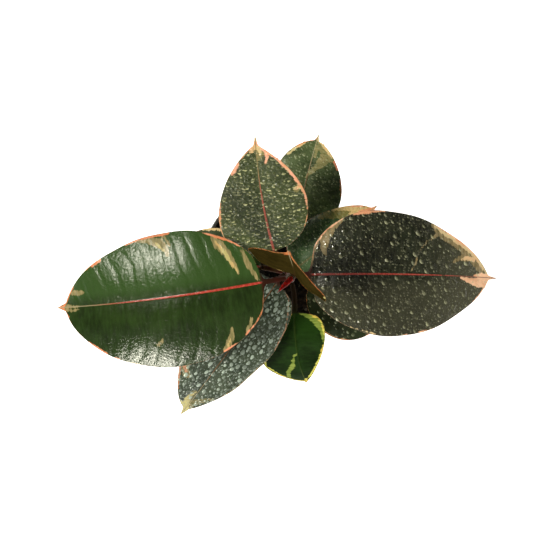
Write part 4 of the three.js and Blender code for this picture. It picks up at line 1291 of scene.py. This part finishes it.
# Young leaf: the newest, still standing upright and folded along its midrib, so that the camera looks
# down on its edges. It is olive brown, with bright orange margins.
leaf_young = grow_leaf(
    "leaf_young", "leaf_young", seed=10,
    at=0.304, heading=115, veer=67, turn=0, stalk=0.018, blade=0.122,
    lift=52, rise=97, mid=80.5, tip=73, fold=23, curl=25, roll=-58,
    left=0.0365, right=0.033, broad=(0.62, 0.57), base=(0.35, 0.89), apex=0.55, drip=0.004,
    vein_depth=0.0001,
    gloss=(0.5, 0.62), shine=0.0, wet_shine=0.0,
    deep_green=(34, 28, 8), green=(50, 42, 16), pale_green=(62, 52, 22),
    under_green=(26, 25, 8), under_pale=(48, 44, 18),
    olive_colour=(96, 92, 50), olive_pale=(120, 108, 66),
    cream_rim=0.0,
    pink_colour=(190, 118, 74), orange_colour=(168, 94, 54), pink_rim=0.0003,
    rib_colour=(50, 38, 18), rib_light=(60, 46, 24),
    cream=[
        [(0.6, -0.97, 0.5), (0.565, -0.96, 1)],
        [(1, 0, 1), (0.985, 0, 1)],
        [(0.35, 0.44, 1.4), (0.32, 0.37, 1.8)],
    ],
    pink=[
        [(1, 0, 1), (0.975, 0, 1.6), (0.94, 0.1, 1.6), (0.925, 0.3, 0.5)],
        [(0.96, 0.8, 0.3), (0.89, 0.985, 0.3), (0.8, 0.99, 0.1), (0.72, 0.995, 0.1)],
        [(0.96, -0.8, 0.5), (0.88, -0.975, 0.4), (0.82, -0.975, 1), (0.77, -0.98, 1),
         (0.73, -0.985, 0.4), (0.62, -0.99, 0.3)],
    ],
)

# Bud sheath: the next leaf's stipule, a red scale rolled tight into a point on the stem's tip.
SHEATH_LENGTH = 0.032
SHEATH_RADIUS = 0.0022
SHEATH_HEADING = 223
SHEATH_LIFT = (66, 58)
SHEATH_SIDES = 32
SHEATH_GAP = 0.0003

t = np.concatenate([np.linspace(0, 0.98, 70), [0.992, 1.0]])
step = np.diff(t, prepend=0)
forward = direction(SHEATH_HEADING, SHEATH_LIFT[0] + (SHEATH_LIFT[1] - SHEATH_LIFT[0]) * t)
start = stem_axis(STEM_TOP) + np.array([0, 0, SHEATH_GAP])
middle = start + np.cumsum(forward * (step * SHEATH_LENGTH)[:, None], 0)
side_way = direction(np.array(SHEATH_HEADING + 90.0), np.array(0.0))
up_way = np.cross(forward, side_way)
level_way = direction(np.array(SHEATH_HEADING + 180.0), np.array(0.0))
upright = np.clip(t / 0.06, 0, 1)[:, None]
up_way = level_way * (1 - upright) + up_way * upright
angle = 2 * np.pi * np.arange(SHEATH_SIDES) / SHEATH_SIDES
radius = np.maximum(SHEATH_RADIUS * (1 + 0.5 * t) * (1 - t**1.6), 0.0003)[:, None]
fold_line = angle - 1.1 - 2.4 * t[:, None]
radius = radius * (1 + 0.05 * np.sin(7 * angle + 6 * t[:, None]) * (1 - t[:, None]))
radius = radius * (1 - 0.14 * np.exp(-(((np.mod(fold_line + np.pi, 2 * np.pi) - np.pi) / 0.22) ** 2)))
rings = middle[:, None] + side_way * (radius * np.cos(angle))[..., None]
rings = rings + up_way[:, None] * (radius * np.sin(angle))[..., None]
sheath_points = np.vstack([rings.reshape(-1, 3), rings[0].mean(0), rings[-1].mean(0)])
ends = (len(t) * SHEATH_SIDES, len(t) * SHEATH_SIDES + 1)
sheath = put_together("rolled_sheath", sheath_points, ring_faces(len(t), SHEATH_SIDES, *ends))


def sheath_finish():
    """Thin red scale: dark wine red with brighter red streaks along it, and a soft gloss."""
    finish, tree, shader = new_finish("red_scale")
    place = object_place(tree)
    streak = speckle(tree, stretch(tree, place, (1, 1, 0.16)), 0.0012, 4, 0.6)
    colour = lay_over(tree, ramp_up(tree, streak, 0.42, 0.62), paint(92, 8, 10), paint(168, 18, 14))
    tree.links.new(colour, shader.inputs["Base Color"])
    shader.inputs["Specular IOR Level"].default_value = 0.2
    shader.inputs["Roughness"].default_value = 0.45
    stand_out(tree, shader, streak, 0.0003, 0.6)
    return finish


sheath.data.materials.append(sheath_finish())
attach(sheath, "root")
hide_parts("bud_sheath")
